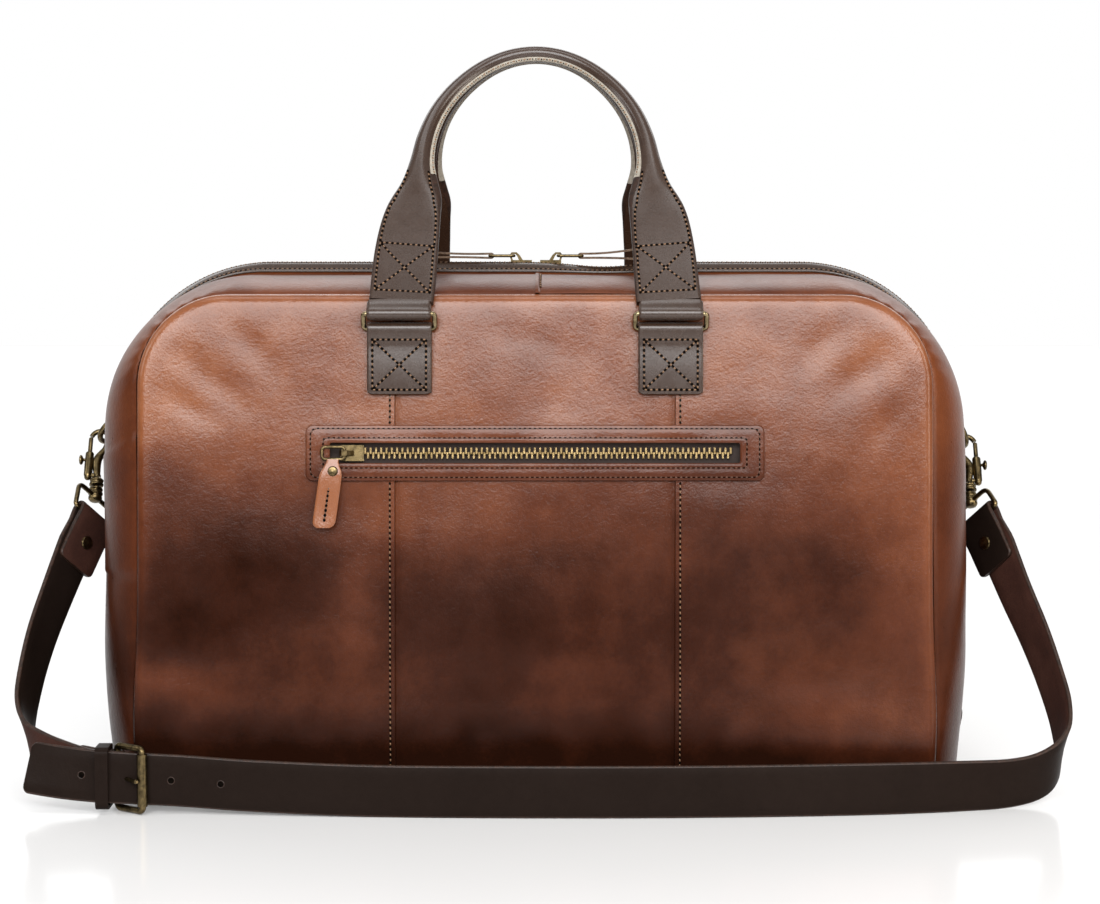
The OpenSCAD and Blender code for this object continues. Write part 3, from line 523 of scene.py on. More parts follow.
def stamped(template, origins, xs, ys, zs):
    """One copy of the template's (points, faces) in each frame."""
    points, faces = template
    points = np.asarray(points, float)
    moved = (
        np.asarray(origins)[:, None]
        + points[None, :, 0:1] * np.asarray(xs)[:, None]
        + points[None, :, 1:2] * np.asarray(ys)[:, None]
        + points[None, :, 2:3] * np.asarray(zs)[:, None]
    )
    count = len(points)
    every = [tuple(int(v) + k * count for v in f) for k in range(len(origins)) for f in faces]
    return moved.reshape(-1, 3), every


# ---------------------------------------------------------------- stitches

# How far each stitch turns off its row's line, as a slope
STITCH_SLANT = 0.12
# The thread, pitch and holes of the fine rows that join body leather
FINE_ROW = {"width": 0.75, "pitch": 3.2, "holes": 0.9}


def stitch_template(pitch, width):
    """A short thread that rises from one hole and dives into the next, along X with Z up."""
    half = pitch / 2 - 0.72
    stations = np.linspace(-1, 1, 7)
    thick = np.sqrt(np.maximum(1 - np.abs(stations) ** 3, 0.06)) * width / 2
    heights = 0.20 * (1 - stations**4) - 0.04
    angle = np.arange(6) * math.pi / 3
    rings = [
        [(s * half, r * math.cos(a), h + 0.8 * r * math.sin(a)) for a in angle]
        for s, r, h in zip(stations, thick, heights)
    ]
    return np.array(rings).reshape(-1, 3), capped_faces(7, 6)


def hole_shade_template(radius):
    """A dark disc of painted shade in the mouth of a needle hole, just proud of the surface."""
    angle = np.arange(8) * math.pi / 4
    low = [(radius * math.cos(a), 0.85 * radius * math.sin(a), -0.35) for a in angle]
    high = [(0.85 * radius * math.cos(a), 0.72 * radius * math.sin(a), 0.17) for a in angle]
    return np.array(low + high), [tuple(f) for f in grid_quads(2, 8, closed=True)] + [tuple(range(8, 16))]


def stitches(name, rows, body="root", pitch=3.1, width=0.82, holes=1.08, tone=THREAD):
    """Rows of stitches as one piece. A row is (points, normals): a line on a surface."""
    threads, pits = [], []
    for points, normals in rows:
        points = np.asarray(points, float)
        normals = np.broadcast_to(np.asarray(normals, float), points.shape)
        total = lengths(points)[-1]
        count = max(2, int(round(total / pitch)))
        step = total / count
        centres, out = sample(points, (np.arange(count) + 0.5) * step, normals)
        ends, end_out = sample(points, np.arange(count + 1) * step, normals)
        along = unit(np.diff(ends, axis=0))
        out, end_out = unit(out), unit(end_out)
        side = unit(np.cross(out, along))
        along = unit(along + STITCH_SLANT * side)
        side = unit(np.cross(out, along))
        threads.append(stamped(stitch_template(step, width), centres, along, side, np.cross(along, side)))
        first = np.concatenate([along[:1], along])
        second = unit(np.cross(end_out, first))
        # each hole is a dark disc of painted shade
        pits.append(stamped(hole_shade_template(holes), ends, first, second, end_out))
    thread_count = sum(len(faces) for _, faces in threads)
    points, faces = joined(*threads, *pits)
    marks = [0] * thread_count + [1] * (len(faces) - thread_count)
    add_piece(name, points, faces, [tone, HOLE_SHADE], body, face_material=marks, crease=60)


# ---------------------------------------------------------------- shoulder strap (cords)

STRAP_W = 30
STRAP_T = 2.8
LOOP_BAR = np.array([272, -17, 156.0])
LOOP_ACROSS = unit([0.5, -0.61, 0.61])
LOOP_DOWN = unit(np.cross(np.cross(LOOP_ACROSS, [0.3, -0.5, -0.82]), LOOP_ACROSS))
LOOP_WIRE_R = 1.5
WRAP_R = LOOP_WIRE_R + 0.4 + STRAP_T / 2
FLAP_L = 34
BUCKLE_Z = 20.2
HEEL = np.array([-240, -130.9])
BUCKLE_WIRE_R = 2
PRONG_X = -233.6
HOLE_PITCH = 26.7
# The holes that show, counted from the prong's hole towards the strap's middle
HOLE_STEPS = (-1, 1, 2)
STRAP_HOLE_R = 1.9
STRAP_CORNER = 3.6
# How far apart the points along the strap are
STRAP_STEP = 3.2

# Each route is the strap's centre line from the loop on, in metres, with its direction across
LONG_ROUTE = [
    (0.282, -0.0313, 0.139), (0.290, -0.047, 0.115), (0.299, -0.062, 0.091), (0.306, -0.076, 0.068),
    (0.310, -0.090, 0.048), (0.308, -0.104, 0.031), (0.297, -0.117, 0.020), (0.276, -0.127, 0.0155),
    (0.240, -0.136, 0.0152), (0.180, -0.144, 0.0152), (0.090, -0.150, 0.0152), (0.0, -0.151, 0.0152),
    (-0.090, -0.148, 0.0152), (-0.160, -0.143, 0.017), (-0.200, -0.139, 0.019),
    (-0.226, -0.138, 0.0202), (-0.250, -0.138, 0.0215), (-0.272, -0.136, 0.0235),
    (-0.291, -0.133, 0.026),
]
LONG_ACROSS = [
    (0.45, -0.66, 0.58), (0.38, -0.72, 0.56), (0.33, -0.76, 0.54), (0.27, -0.78, 0.57),
    (0.2, -0.65, 0.72), (0.1, -0.4, 0.9), (0, -0.25, 0.97), (0, -0.2, 0.98), (0, -0.1, 1),
    (0, 0, 1), (0, 0, 1), (0, 0, 1), (0, 0, 1), (0, 0, 1), (0, 0, 1), (0, 0, 1), (0, 0.1, 1),
    (0, 0.2, 0.98), (0, 0.3, 0.95),
]
SHORT_ROUTE = [
    (-0.2814, -0.0309, 0.139), (-0.289, -0.047, 0.115), (-0.296, -0.062, 0.091), (-0.300, -0.076, 0.069),
    (-0.301, -0.089, 0.050), (-0.296, -0.103, 0.036), (-0.284, -0.115, 0.028), (-0.268, -0.125, 0.023),
    (-0.256, -0.1305, 0.021), (-0.247, -0.1334, 0.0204),
]
SHORT_ACROSS = [
    (-0.45, -0.66, 0.58), (-0.38, -0.72, 0.56), (-0.33, -0.76, 0.54), (-0.27, -0.78, 0.57),
    (-0.2, -0.65, 0.72), (-0.1, -0.4, 0.9), (0, -0.15, 0.98), (0, 0.05, 1), (0, 0, 1), (0, 0, 1),
]


def wrap_points(side):
    """The strap's turn round the loop's bar: the flap up to the top of the bar, and the rest down
    to the start of the route."""
    flip = np.array([side, 1, 1])
    bar, down, across = LOOP_BAR * flip, LOOP_DOWN * flip, LOOP_ACROSS * flip
    out = side * np.cross(down, across)
    turn = np.radians(np.arange(0, 181, 15))
    arc = [bar + WRAP_R * (out * math.cos(a) - down * math.sin(a)) for a in turn]
    flap = [bar + down * FLAP_L + out * 3.0, bar + down * 14 + out * 2.6, *arc[:7]]
    return flap, [*arc[6:], bar + down * 10 - out * 2.2]


def ribbon(name, points, across, replaces, round_start=True, round_end=True):
    """A flat strap with rounded edges and ends: grain side, cut edges and flesh side."""
    total = lengths(points)[-1]
    corner = STRAP_CORNER
    near_end = np.array([0.12, 0.45, 1.0, 1.8, 2.7, corner])
    even = np.linspace(0, total, int(total / STRAP_STEP))
    at = np.unique(np.concatenate([even, near_end, total - near_end]))
    count = len(at)
    path, across = sample(points, at, across)
    along = unit(np.gradient(path, axis=0))
    across = unit(across - along * np.sum(across * along, axis=1, keepdims=True))
    out = np.cross(along, across)
    # the corners at the strap's ends are rounded
    half = np.full(count, STRAP_W / 2)
    for distance, wanted in ((at, round_start), (total - at, round_end)):
        if wanted:
            half = np.minimum(half, rounded_half_widths(distance, STRAP_W / 2, corner))
    # cross-section: flat faces with softly rounded edges
    h = STRAP_T / 2
    section = np.array([
        (-1, -0.45 * h), (-1, 0.45 * h), (-0.975, 0.8 * h), (-0.93, h), (-0.5, h * 1.02), (0, h * 1.03),
        (0.5, h * 1.02), (0.93, h), (0.975, 0.8 * h), (1, 0.45 * h), (1, -0.45 * h), (0.975, -0.8 * h),
        (0.93, -h), (0.5, -h), (0, -h), (-0.5, -h), (-0.93, -h), (-0.975, -0.8 * h),
    ])
    grid = path[:, None] + across[:, None] * (section[None, :, 0:1] * half[:, None, None])
    grid = grid + out[:, None] * section[None, :, 1:2]
    sides = len(section)
    column = np.arange((count - 1) * sides) % sides
    marks = np.full(len(column), 1)
    marks[(column >= 3) & (column <= 6)] = 2
    marks[(column >= 12) & (column <= 15)] = 0
    piece = add_piece(
        name, grid.reshape(-1, 3), capped_faces(count, sides), [STRAP, EDGE, FLESH], slot="dark_leather",
        replaces=replaces, face_material=[*marks, 1, 1], crease=50,
    )
    return piece, path, across


def strap_flap(side):
    flap, _ = wrap_points(side)
    across = [LOOP_ACROSS * np.array([side, 1, 1])] * len(flap)
    return ribbon("strap_flap_" + end_name(side), flap, across, (), round_end=False)[0]


def long_strap():
    _, turn = wrap_points(RIGHT)
    route = smooth(np.array(LONG_ROUTE) / MM, 6)
    across = [LOOP_ACROSS] * len(turn) + list(smooth(LONG_ACROSS, 6))
    return ribbon("long_strap_leather", [*turn, *route], across, ("long_strap",), round_start=False)


def short_strap():
    _, turn = wrap_points(LEFT)
    flip = LOOP_ACROSS * np.array([-1, 1, 1])
    wrap = BUCKLE_WIRE_R + 0.2 + STRAP_T / 2
    fold = [
        (HEEL[0] + wrap * math.cos(a), HEEL[1] + wrap * math.sin(a), BUCKLE_Z)
        for a in np.radians(np.arange(-90, 91, 30))
    ]
    fold += [(-250, HEEL[1] + wrap, BUCKLE_Z), (-266, HEEL[1] + wrap + 3.4, BUCKLE_Z + 2.4)]
    route = smooth(np.array(SHORT_ROUTE) / MM, 6)
    across = [flip] * len(turn) + list(smooth(SHORT_ACROSS, 6)) + [(0, 0, 1)] * len(fold)
    return ribbon("short_strap_leather", [*turn, *route, *fold], across, ("short_strap",), round_start=False)


LONG_PIECE, LONG_PATH, LONG_SIDEWAYS = long_strap()
SHORT_PIECE = short_strap()[0]
FLAPS = {side: strap_flap(side) for side in (LEFT, RIGHT)}


def strap_holes():
    """The holes beside the buckle, each with the leather pressed in round it and a dark disc of painted shade
    in its mouth.
    """
    angle = np.arange(16) * math.pi / 8
    rings = [(STRAP_HOLE_R + 0.4, 0.0), (STRAP_HOLE_R + 0.15, 0.12), (STRAP_HOLE_R - 0.1, 0.05)]
    parts, marks = [], []
    for k in HOLE_STEPS:
        nearest = np.argmin(np.abs(LONG_PATH[:, 0] - (PRONG_X + k * HOLE_PITCH)))
        centre, up = LONG_PATH[nearest], LONG_SIDEWAYS[nearest]
        along = unit(LONG_PATH[nearest - 1] - LONG_PATH[nearest + 1])
        out = np.cross(along, up)
        points = [
            centre + out * (STRAP_T / 2 + rise) + r * (along * math.cos(a) + up * math.sin(a))
            for r, rise in rings
            for a in angle
        ]
        # the innermost ring is capped with a dark disc of painted shade
        faces = [tuple(f) for f in grid_quads(3, 16, closed=True)] + [tuple(range(32, 48))]
        parts.append((points, faces))
        marks += [0] * 32 + [1]
    points, faces = joined(*parts)
    return add_piece("strap_holes", points, faces, [EDGE, HOLE_SHADE], face_material=marks)


HOLES_PIECE = strap_holes()

# ---------------------------------------------------------------- the body's shape

PANEL_HALF = 230
PANEL_TOP = 296
PANEL_R = 52
PANEL_BOTTOM = 8.4
BODY_HALF = 257
BODY_TOP = 312
BODY_R = 95
# Half the depth of the bag at the floor, and how much less it is at the top of the panels
FOOT_Y = 121
TAPER = 18
SEAM_X = 80
# How far the row of stitches is from the seam's middle
SEAM_ROW = 3.6
GROOVE = 5
LEATHER_T = 2.0
POCKET_Z = 205
POCKET_W = 264
POCKET_H = 32
WINDOW_W = 236
WINDOW_H = 11.5
# Half the width of the opening cut in the panels behind the window
OPENING_HALF = 119
# How far apart the points of a panel are
PANEL_STEP = 3.6
RING_X = 78
BAND_W = 37

# Soft creases on the front: from (x, z) to (x, z), with a width and a depth
CREASES = [
    (-205, 262, -168, 232, 9, 0.9), (-214, 240, -184, 222, 7, 0.7), (-176, 280, -150, 252, 8, 0.8),
    (204, 264, 172, 236, 9, 0.9), (178, 281, 156, 256, 8, 0.7), (216, 236, 190, 206, 8, 0.6),
    (-218, 84, -176, 74, 9, 0.7), (-216, 128, -160, 108, 13, 0.5), (214, 112, 150, 92, 13, 0.5),
    (190, 62, 120, 56, 11, 0.5), (-60, 80, 40, 70, 15, 0.4), (-26, 276, 24, 262, 9, 0.4),
]
# The front's tone by height, darker at the bottom where the panel curves under (painted shade) and lighter
# towards the top (partly painted light), and its lighter and darker patches, the light ones at the right edge
# and the dark ones on the left partly painted light and shade: (x, z, width, height, change)
TONE_HEIGHTS = [8, 30, 44, 60, 76, 110, 140, 177, 215, 296]
TONES = [0.05, 0.09, 0.17, 0.29, 0.30, 0.27, 0.33, 0.50, 0.68, 0.71]
PATINA_AND_SHADING = [
    (-190, 120, 60, 50, -0.09), (-150, 150, 36, 24, -0.10), (-103, 118, 16, 60, 0.17),
    (-216, 74, 26, 13, 0.20), (-150, 62, 50, 14, 0.08), (-212, 250, 22, 36, 0.10),
    (-216, 178, 26, 26, -0.10), (0, 104, 60, 20, -0.04), (-60, 162, 46, 16, 0.12),
    (110, 186, 36, 18, -0.08), (176, 146, 22, 20, -0.06), (150, 92, 70, 34, 0.08),
    (226, 120, 34, 90, 0.22), (215, 45, 50, 22, 0.20), (140, 44, 40, 12, 0.12),
    (208, 232, 28, 20, -0.10), (190, 262, 40, 20, 0.06), (-180, 290, 60, 16, -0.08),
]
REAR_SEED = 37.0


def cloud(points, wavelength, seed):
    """Smooth noise from about -1 to 1 at each point."""
    flat = np.asarray(points, float).reshape(-1, 3) / wavelength
    values = [noise.noise(Vector((x + seed, y - seed, z))) for x, y, z in flat]
    return np.array(values).reshape(np.shape(points)[:-1])


def face_y(z):
    """Half the depth of the bag at this height."""
    return FOOT_Y - TAPER * (np.maximum(z, 0) / PANEL_TOP) ** 2.2


def spread(z):
    """How far the bag's sides slump outwards near the floor."""
    return 3 * bump_at(z, 45, 50)


def panel_half_width(z):
    over = np.clip(z - (PANEL_TOP - PANEL_R), 0, PANEL_R)
    return PANEL_HALF - PANEL_R + np.sqrt(PANEL_R**2 - over**2) + spread(z)


def quarter_round(distance, radius):
    """How far a rolled edge falls back at this distance from the edge."""
    near = np.clip(radius - distance, 0, radius)
    return radius - np.sqrt(radius**2 - near**2)


def inside(x, z):
    """How far a point of a panel is from the panel's outline."""
    x = np.abs(x) - spread(z)
    over_x, over_z = x - (PANEL_HALF - PANEL_R), z - (PANEL_TOP - PANEL_R)
    rounded = PANEL_R - np.hypot(over_x, over_z)
    straight = np.minimum(PANEL_HALF - x, PANEL_TOP - z)
    return np.where((over_x > 0) & (over_z > 0), rounded, straight)


def near_segment(x, z, x0, z0, x1, z1):
    """Distance to a segment, and how far along it from 0 to 1."""
    dx, dz = x1 - x0, z1 - z0
    t = np.clip(((x - x0) * dx + (z - z0) * dz) / (dx * dx + dz * dz), 0, 1)
    return np.hypot(x - x0 - t * dx, z - z0 - t * dz), t


def dents(x, z, side):
    """Dents and creases of a panel; none where the pocket or a chape is sewn on."""
    flip = -side
    seed = 0 if side == FRONT else REAR_SEED
    flat = np.stack([x * flip, np.full_like(x, 20.0), z], -1)
    depth = 2.0 * cloud(flat, 120, seed) + 0.45 * cloud(flat, 46, seed + 5) + 0.10 * cloud(flat, 13, seed + 9)
    for x0, z0, x1, z1, width, deep in CREASES:
        distance, t = near_segment(x * flip, z, x0, z0, x1, z1)
        depth -= deep * bump_at(distance, 0, width) * np.sin(math.pi * (0.12 + 0.76 * t))
    calm = 1.0
    if side == FRONT:
        across = np.exp(-((np.abs(x) / 146) ** 8))
        calm = 1 - across * np.exp(-(((z - POCKET_Z) / 24) ** 4))
    chape = np.exp(-(((np.abs(x) - RING_X) / 26) ** 4) - ((z - 262) / 28) ** 4)
    rim = smoothstep(inside(x, z) / 14) * smoothstep((z - 10) / 20)
    seam = 1 - 0.65 * bump_at(np.abs(x), SEAM_X, 9)
    return depth * calm * (1 - chape) * (0.25 + 0.75 * rim) * seam


def panel_depth(x, z, side):
    """How far the outer face of the front or rear panel stands from the middle of the bag."""
    belly = 1.4 * bump_at(z, 66, 46) * (1 - (x / 240) ** 2)
    rolled = quarter_round(inside(x, z), GROOVE) + quarter_round(z - PANEL_BOTTOM, 11)
    return face_y(z) + belly - rolled + dents(x, z, side)


def on_panel(x, z, out=0.0, side=FRONT):
    """A point this far outside the panel, and the direction out of the panel."""
    x, z = np.broadcast_arrays(np.asarray(x, float), np.asarray(z, float))
    step = 1.5
    depth = panel_depth(x, z, side)
    slope_x = (panel_depth(x + step, z, side) - panel_depth(x - step, z, side)) / (2 * step)
    slope_z = (panel_depth(x, z + step, side) - panel_depth(x, z - step, side)) / (2 * step)
    normal = unit(np.stack([-slope_x, np.full_like(x, float(side)), -slope_z], -1))
    base = np.stack([x, side * depth, z], -1)
    return base + normal * np.asarray(out)[..., None], normal


def panel_tone_and_shading(x, z, side=FRONT):
    """The tone of the leather: 0 is darkest and 1 is lightest. It is darker at the bottom where the panel
    curves under (painted shade) and lighter towards the top and the right edge (partly painted light).
    """
    flip = -side
    # painted shade low down where the panel curves under, and partly painted light towards the top
    tone = np.interp(z, TONE_HEIGHTS, TONES)
    for px, pz, wide, high, change in PATINA_AND_SHADING:
        tone += change * bump_at(x * flip, px, wide) * bump_at(z, pz, high)
    edge = 0.10 * bump_at(inside(x, z), 3, 4.5) * smoothstep(z / 120)
    flat = np.stack([x, np.full_like(x, 7.0), z], -1)
    return tone + edge + 0.07 * cloud(flat, 40, 3 + side) + 0.06 * cloud(flat, 13, 8 + side)


def divided(breaks, step):
    """Values from the first break to the last, through every break, about a step apart."""
    out = [breaks[0]]
    for a, b in zip(breaks, breaks[1:]):
        count = max(1, int(round(abs(b - a) / step)))
        out += [a + (b - a) * k / count for k in range(1, count + 1)]
    return np.array(out)


EDGE_STEPS = [12, 8, 5.5, 4, 2.8, 1.8, 1, 0.4, 0]
BOTTOM_STEPS = [0, 0.35, 0.9, 1.8, 3.2, 5.2, 8, 11.5]


def panel_rows():
    low = [PANEL_BOTTOM + s for s in BOTTOM_STEPS]
    window = WINDOW_H / 2 + 1.2
    breaks = [low[-1], POCKET_Z - window, POCKET_Z + window, PANEL_TOP - EDGE_STEPS[0]]
    middle = divided(breaks, PANEL_STEP)
    return np.concatenate([low, middle[1:], [PANEL_TOP - s for s in EDGE_STEPS[1:]]])


def sheet_panel(side, part, node_part, x_grid, z_grid, lift):
    """One piece of the front or rear; in front, it is cut away behind the pocket's window."""
    depth = panel_depth(x_grid, z_grid, side) + lift
    grid = np.stack([x_grid, side * depth, z_grid], -1)
    keep = None
    if side == FRONT:
        middle_x = (x_grid[:-1, :-1] + x_grid[1:, 1:]) / 2
        middle_z = (z_grid[:-1, :-1] + z_grid[1:, 1:]) / 2
        high, wide = np.abs(middle_z - POCKET_Z), np.abs(middle_x)
        keep = (high >= WINDOW_H / 2 + 1) | (wide >= OPENING_HALF)
    node_side = "front" if side == FRONT else "back"
    skin(
        f"{face_name(side)}_{part}_leather", grid, LEATHER_T, [BODY, BODY_EDGE], [0, side, 0], keep,
        panel_tone_and_shading(x_grid, z_grid, side), replaces=(f"{node_side}_panel_{node_part}",),
        slot="body_leather",
    )


def outer_panel(end, side):
    """The left or right part of the front or rear; it laps over the middle part."""
    rows = panel_rows()
    lap = SEAM_X + 1
    near = divided([lap, lap + 1.2, lap + 3, OPENING_HALF], PANEL_STEP)
    far = np.linspace(0, 1, 27)[1:]
    grid = []
    for half in panel_half_width(rows):
        edge = half - np.array(EDGE_STEPS)
        grid.append(np.concatenate([near, mix(OPENING_HALF, edge[0], far), edge[1:]]))
    x_grid = end * np.array(grid)
    z_grid = np.broadcast_to(rows[:, None], x_grid.shape).copy()
    lift = 0.9 * bump_at(np.abs(x_grid), lap, 7)
    sheet_panel(side, end_name(end), end_name(end), x_grid, z_grid, lift)


def middle_panel(side):
    """The middle part of the front or rear; it dips under the outer parts at its edges."""
    columns = divided([-86, -82, -79, 79, 82, 86], PANEL_STEP)
    x_grid, z_grid = np.meshgrid(columns, panel_rows())
    lift = -1.5 * smoothstep((np.abs(x_grid) - 77.5) / 3)
    sheet_panel(side, "middle", "centre", x_grid, z_grid, lift)


def panel_stitches(side):
    """The two upright seams: a row of stitches just outside the edge of the upper piece."""
    # in front, the pocket and the chapes interrupt the rows
    spans = [(14, 187.5), (222.5, 238.5)] if side == FRONT else [(14, 240)]
    rows = [
        on_panel(end * (SEAM_X + SEAM_ROW), np.linspace(low, high, 80), 0.85, side)
        for end in (LEFT, RIGHT)
        for low, high in spans
    ]
    stitches("seam_stitches_" + face_name(side), rows, **FINE_ROW)


for facing in (FRONT, REAR):
    middle_panel(facing)
    outer_panel(LEFT, facing)
    outer_panel(RIGHT, facing)
    panel_stitches(facing)

# ---------------------------------------------------------------- gusset, binding and zip

ZIP_END_Z = 40
TAPE_T = 0.9
BINDING_T = 1.3
BINDING_OUT = 14.6
BINDING_IN = 5.4
# The distances from the zip's middle of the binding's two rows of stitches
BINDING_ROWS = (13.0, 7.3)
# The middle lap on top, along the arch, and the row of stitches beside it
TOP_LAP = 2.985
TOP_ROW = 2.982
# Where, along the arch, the side pieces lap over their neighbours
SIDE_LAPS = [0.53, 0.875]
# Where the D-ring's tab lies flat on the rear half: its height and its distance from the zip
TAB_Z = 214
TAB_Y = 24


def outline(s, f):
    """Half of the gusset's arch: s goes up the side (0 to 1), round the corner (to 2) and along
    the top to the middle (to 3); f goes from the panel's outline (0) to the zip's (1)."""
    half, top, r = mix(PANEL_HALF, BODY_HALF, f), mix(PANEL_TOP, BODY_TOP, f), mix(PANEL_R, BODY_R, f)
    rise, turn, over = np.clip(s, 0, 1), np.clip(s - 1, 0, 1), np.clip(s - 2, 0, 1)
    a = turn * math.pi / 2
    x = np.where(s < 1, half, np.where(s < 2, half - r + r * np.cos(a), mix(half - r, 0, over)))
    lowered = (top - r - (PANEL_TOP - PANEL_R)) * rise**4
    straight = mix(PANEL_BOTTOM, PANEL_TOP - PANEL_R, rise) + lowered
    z = np.where(s < 1, straight, np.where(s < 2, top - r + r * np.sin(a), top))
    return x, z


def fullness(s, y, t, side):
    """How far the gusset swells out, and near the zip how much of the zip's ridge there is."""
    middle = mix(0.72, 0.92, smoothstep(s / 0.35))
    middle = mix(middle, 0.62, smoothstep((s - 0.85) / 0.9))
    f = middle * np.sin(math.pi / 2 * np.minimum(t / 0.42, 1)) ** 0.7
    ridge = smoothstep((18 - y) / 11.5)
    f = mix(f, 1, ridge)
    if side == REAR:
        _, z = outline(s, f)
        tab = np.exp(-(((z - TAB_Z) / 26) ** 4) - ((y - TAB_Y) / 15) ** 4)
        f = mix(f, 0.985, tab)
    return f, ridge


def gusset_edge(s):
    """How far from the zip's middle the gusset meets the panel."""
    _, z_edge = outline(s, 0.0)
    return face_y(z_edge) - GROOVE


def gusset_point(s, y, end, side):
    """A point of the gusset at a distance y from the zip's middle."""
    s, y = np.broadcast_arrays(np.asarray(s, float), np.asarray(y, float))
    y_edge = gusset_edge(s)
    t = np.clip((y_edge - y) / (y_edge - BINDING_IN), 0, 1)
    f, ridge = fullness(s, y, t, side)
    x, z = outline(s, f)
    x = x + spread(z) * (1 - 0.3 * f) - quarter_round(z - PANEL_BOTTOM, 10)
    dip = 3 * bump_at(end * x, 42, 26) * (s > 2) * ridge
    return np.stack([end * x, side * y, z - dip], -1)


def from_core(points):
    """Away from a line through the middle of the bag, from front to rear."""
    return points * [1, 0, 1] - [0, 0, 150]


def gusset_normals(s, y, end, side):
    step = 0.004
    after = gusset_point(np.minimum(s + step, 3), y, end, side)
    along = after - gusset_point(np.maximum(s - step, 0), y, end, side)
    across = gusset_point(s, y + 0.4, end, side) - gusset_point(s, y - 0.4, end, side)
    normal = unit(np.cross(along, across))
    outward = from_core(gusset_point(s, y, end, side))
    flip = np.sign(np.sum(normal * outward, axis=-1, keepdims=True))
    return normal * np.where(flip == 0, 1, flip)


def gusset_relief(s, y, end, side):
    """Dents, the laps of the side pieces and the puckers at the corners."""
    points = gusset_point(s, y, end, side)
    seed = 11 + 3 * end + 7 * side
    depth = 1.5 * cloud(points, 95, seed) + 0.3 * cloud(points, 34, seed + 4)
    depth = depth * smoothstep((y - 16) / 12)
    if side == REAR:
        depth = depth * (1 - np.exp(-(((points[..., 2] - TAB_Z) / 28) ** 4) - ((y - TAB_Y) / 17) ** 4))
    from_edge = gusset_edge(s) - y
    turn = np.clip(s - 1, 0, 1)
    arc = turn * PANEL_R * math.pi / 2
    pucker = np.sin(arc * 2 * math.pi / 8.5 + 1.5 * cloud(points, 20, seed))
    depth = depth + 0.55 * pucker * np.sin(math.pi * turn) * bump_at(from_edge, 5, 9)
    # the left side has a piece lapped over its upper part, and the right one ends in a lap on top
    if end == LEFT:
        low, high = SIDE_LAPS
        lap = 0.8 * smoothstep((s - low) / 0.006) * (1 - smoothstep((s - high) / 0.006))
    else:
        lap = 0.9 * smoothstep((s - TOP_LAP) / 0.004)
    return depth + lap * smoothstep((y - 13) / 2)


def side_tone_and_shading(points, end):
    z = points[..., 2]
    height = np.clip(z / BODY_TOP, 0, 1)
    # lighter towards the top and on the right side: partly painted light from above and from the right
    low, high = (0.22, 0.66) if end == LEFT else (0.32, 0.78)
    tone = mix(mix(low, high, height**1.1), 0.56, smoothstep((z - 260) / 40))
    return tone + 0.10 * cloud(points, 50, 2 + end) + 0.05 * cloud(points, 17, 6 + end)


def gusset_stations():
    """Steps along the arch, closer together at the foot and at the laps."""
    side_breaks = [0, 0.008, 0.02, 0.035, 0.06, 0.527, 0.536, 0.872, 0.881, 1]
    over = [2, 2.55, 2.8, 2.9, 2.94, 2.984, 2.99, 3]
    return np.concatenate([
        divided(side_breaks, 0.018), divided([1, 2], 0.03)[1:], divided(over, 0.028)[1:],
    ])


def gusset(end, side):
    s = gusset_stations()
    t = np.concatenate([[0, 0.004, 0.012, 0.025, 0.045, 0.07, 0.1], np.linspace(0.135, 0.80, 20)])
    from_zip = [20, 18, 16, 14, 12, 10, 8, BINDING_IN]
    y_grid = np.array([[*(mix(edge, 22, t / t[-1])), *from_zip] for edge in gusset_edge(s)])
    s_grid = np.broadcast_to(s[:, None], y_grid.shape)
    base = gusset_point(s_grid, y_grid, end, side)
    relief = gusset_relief(s_grid, y_grid, end, side)
    grid = base + gusset_normals(s_grid, y_grid, end, side) * relief[..., None]
    place = f"{face_name(side)}_{end_name(end)}"
    skin(
        "gusset_leather_" + place, grid, LEATHER_T, [SIDE_BODY, BODY_EDGE], from_core(grid),
        patina_and_shading=side_tone_and_shading(grid, end), replaces=("gusset_" + place,), slot="body_leather",
    )


def gusset_stitches():
    """The short seams across the top, beside the lap at the middle."""
    y = np.linspace(17, 92, 50)
    s = np.full_like(y, TOP_ROW)
    rows = []
    for side in (FRONT, REAR):
        normals = gusset_normals(s, y, RIGHT, side)
        lift = gusset_relief(s, y, RIGHT, side) + 0.1
        rows.append((gusset_point(s, y, RIGHT, side) + normals * lift[..., None], normals))
    stitches("gusset_stitches", rows, **FINE_ROW)


def zip_line_s(z):
    """Where along its side the zip is at this height."""
    steps = np.linspace(0, 1, 400)
    return float(np.interp(z, outline(steps, 1.0)[1], steps))


def zip_stations(step):
    breaks = ([zip_line_s(ZIP_END_Z), 1], [1, 2], [2, 3])
    return np.concatenate([divided(pair, step)[k > 0 :] for k, pair in enumerate(breaks)])


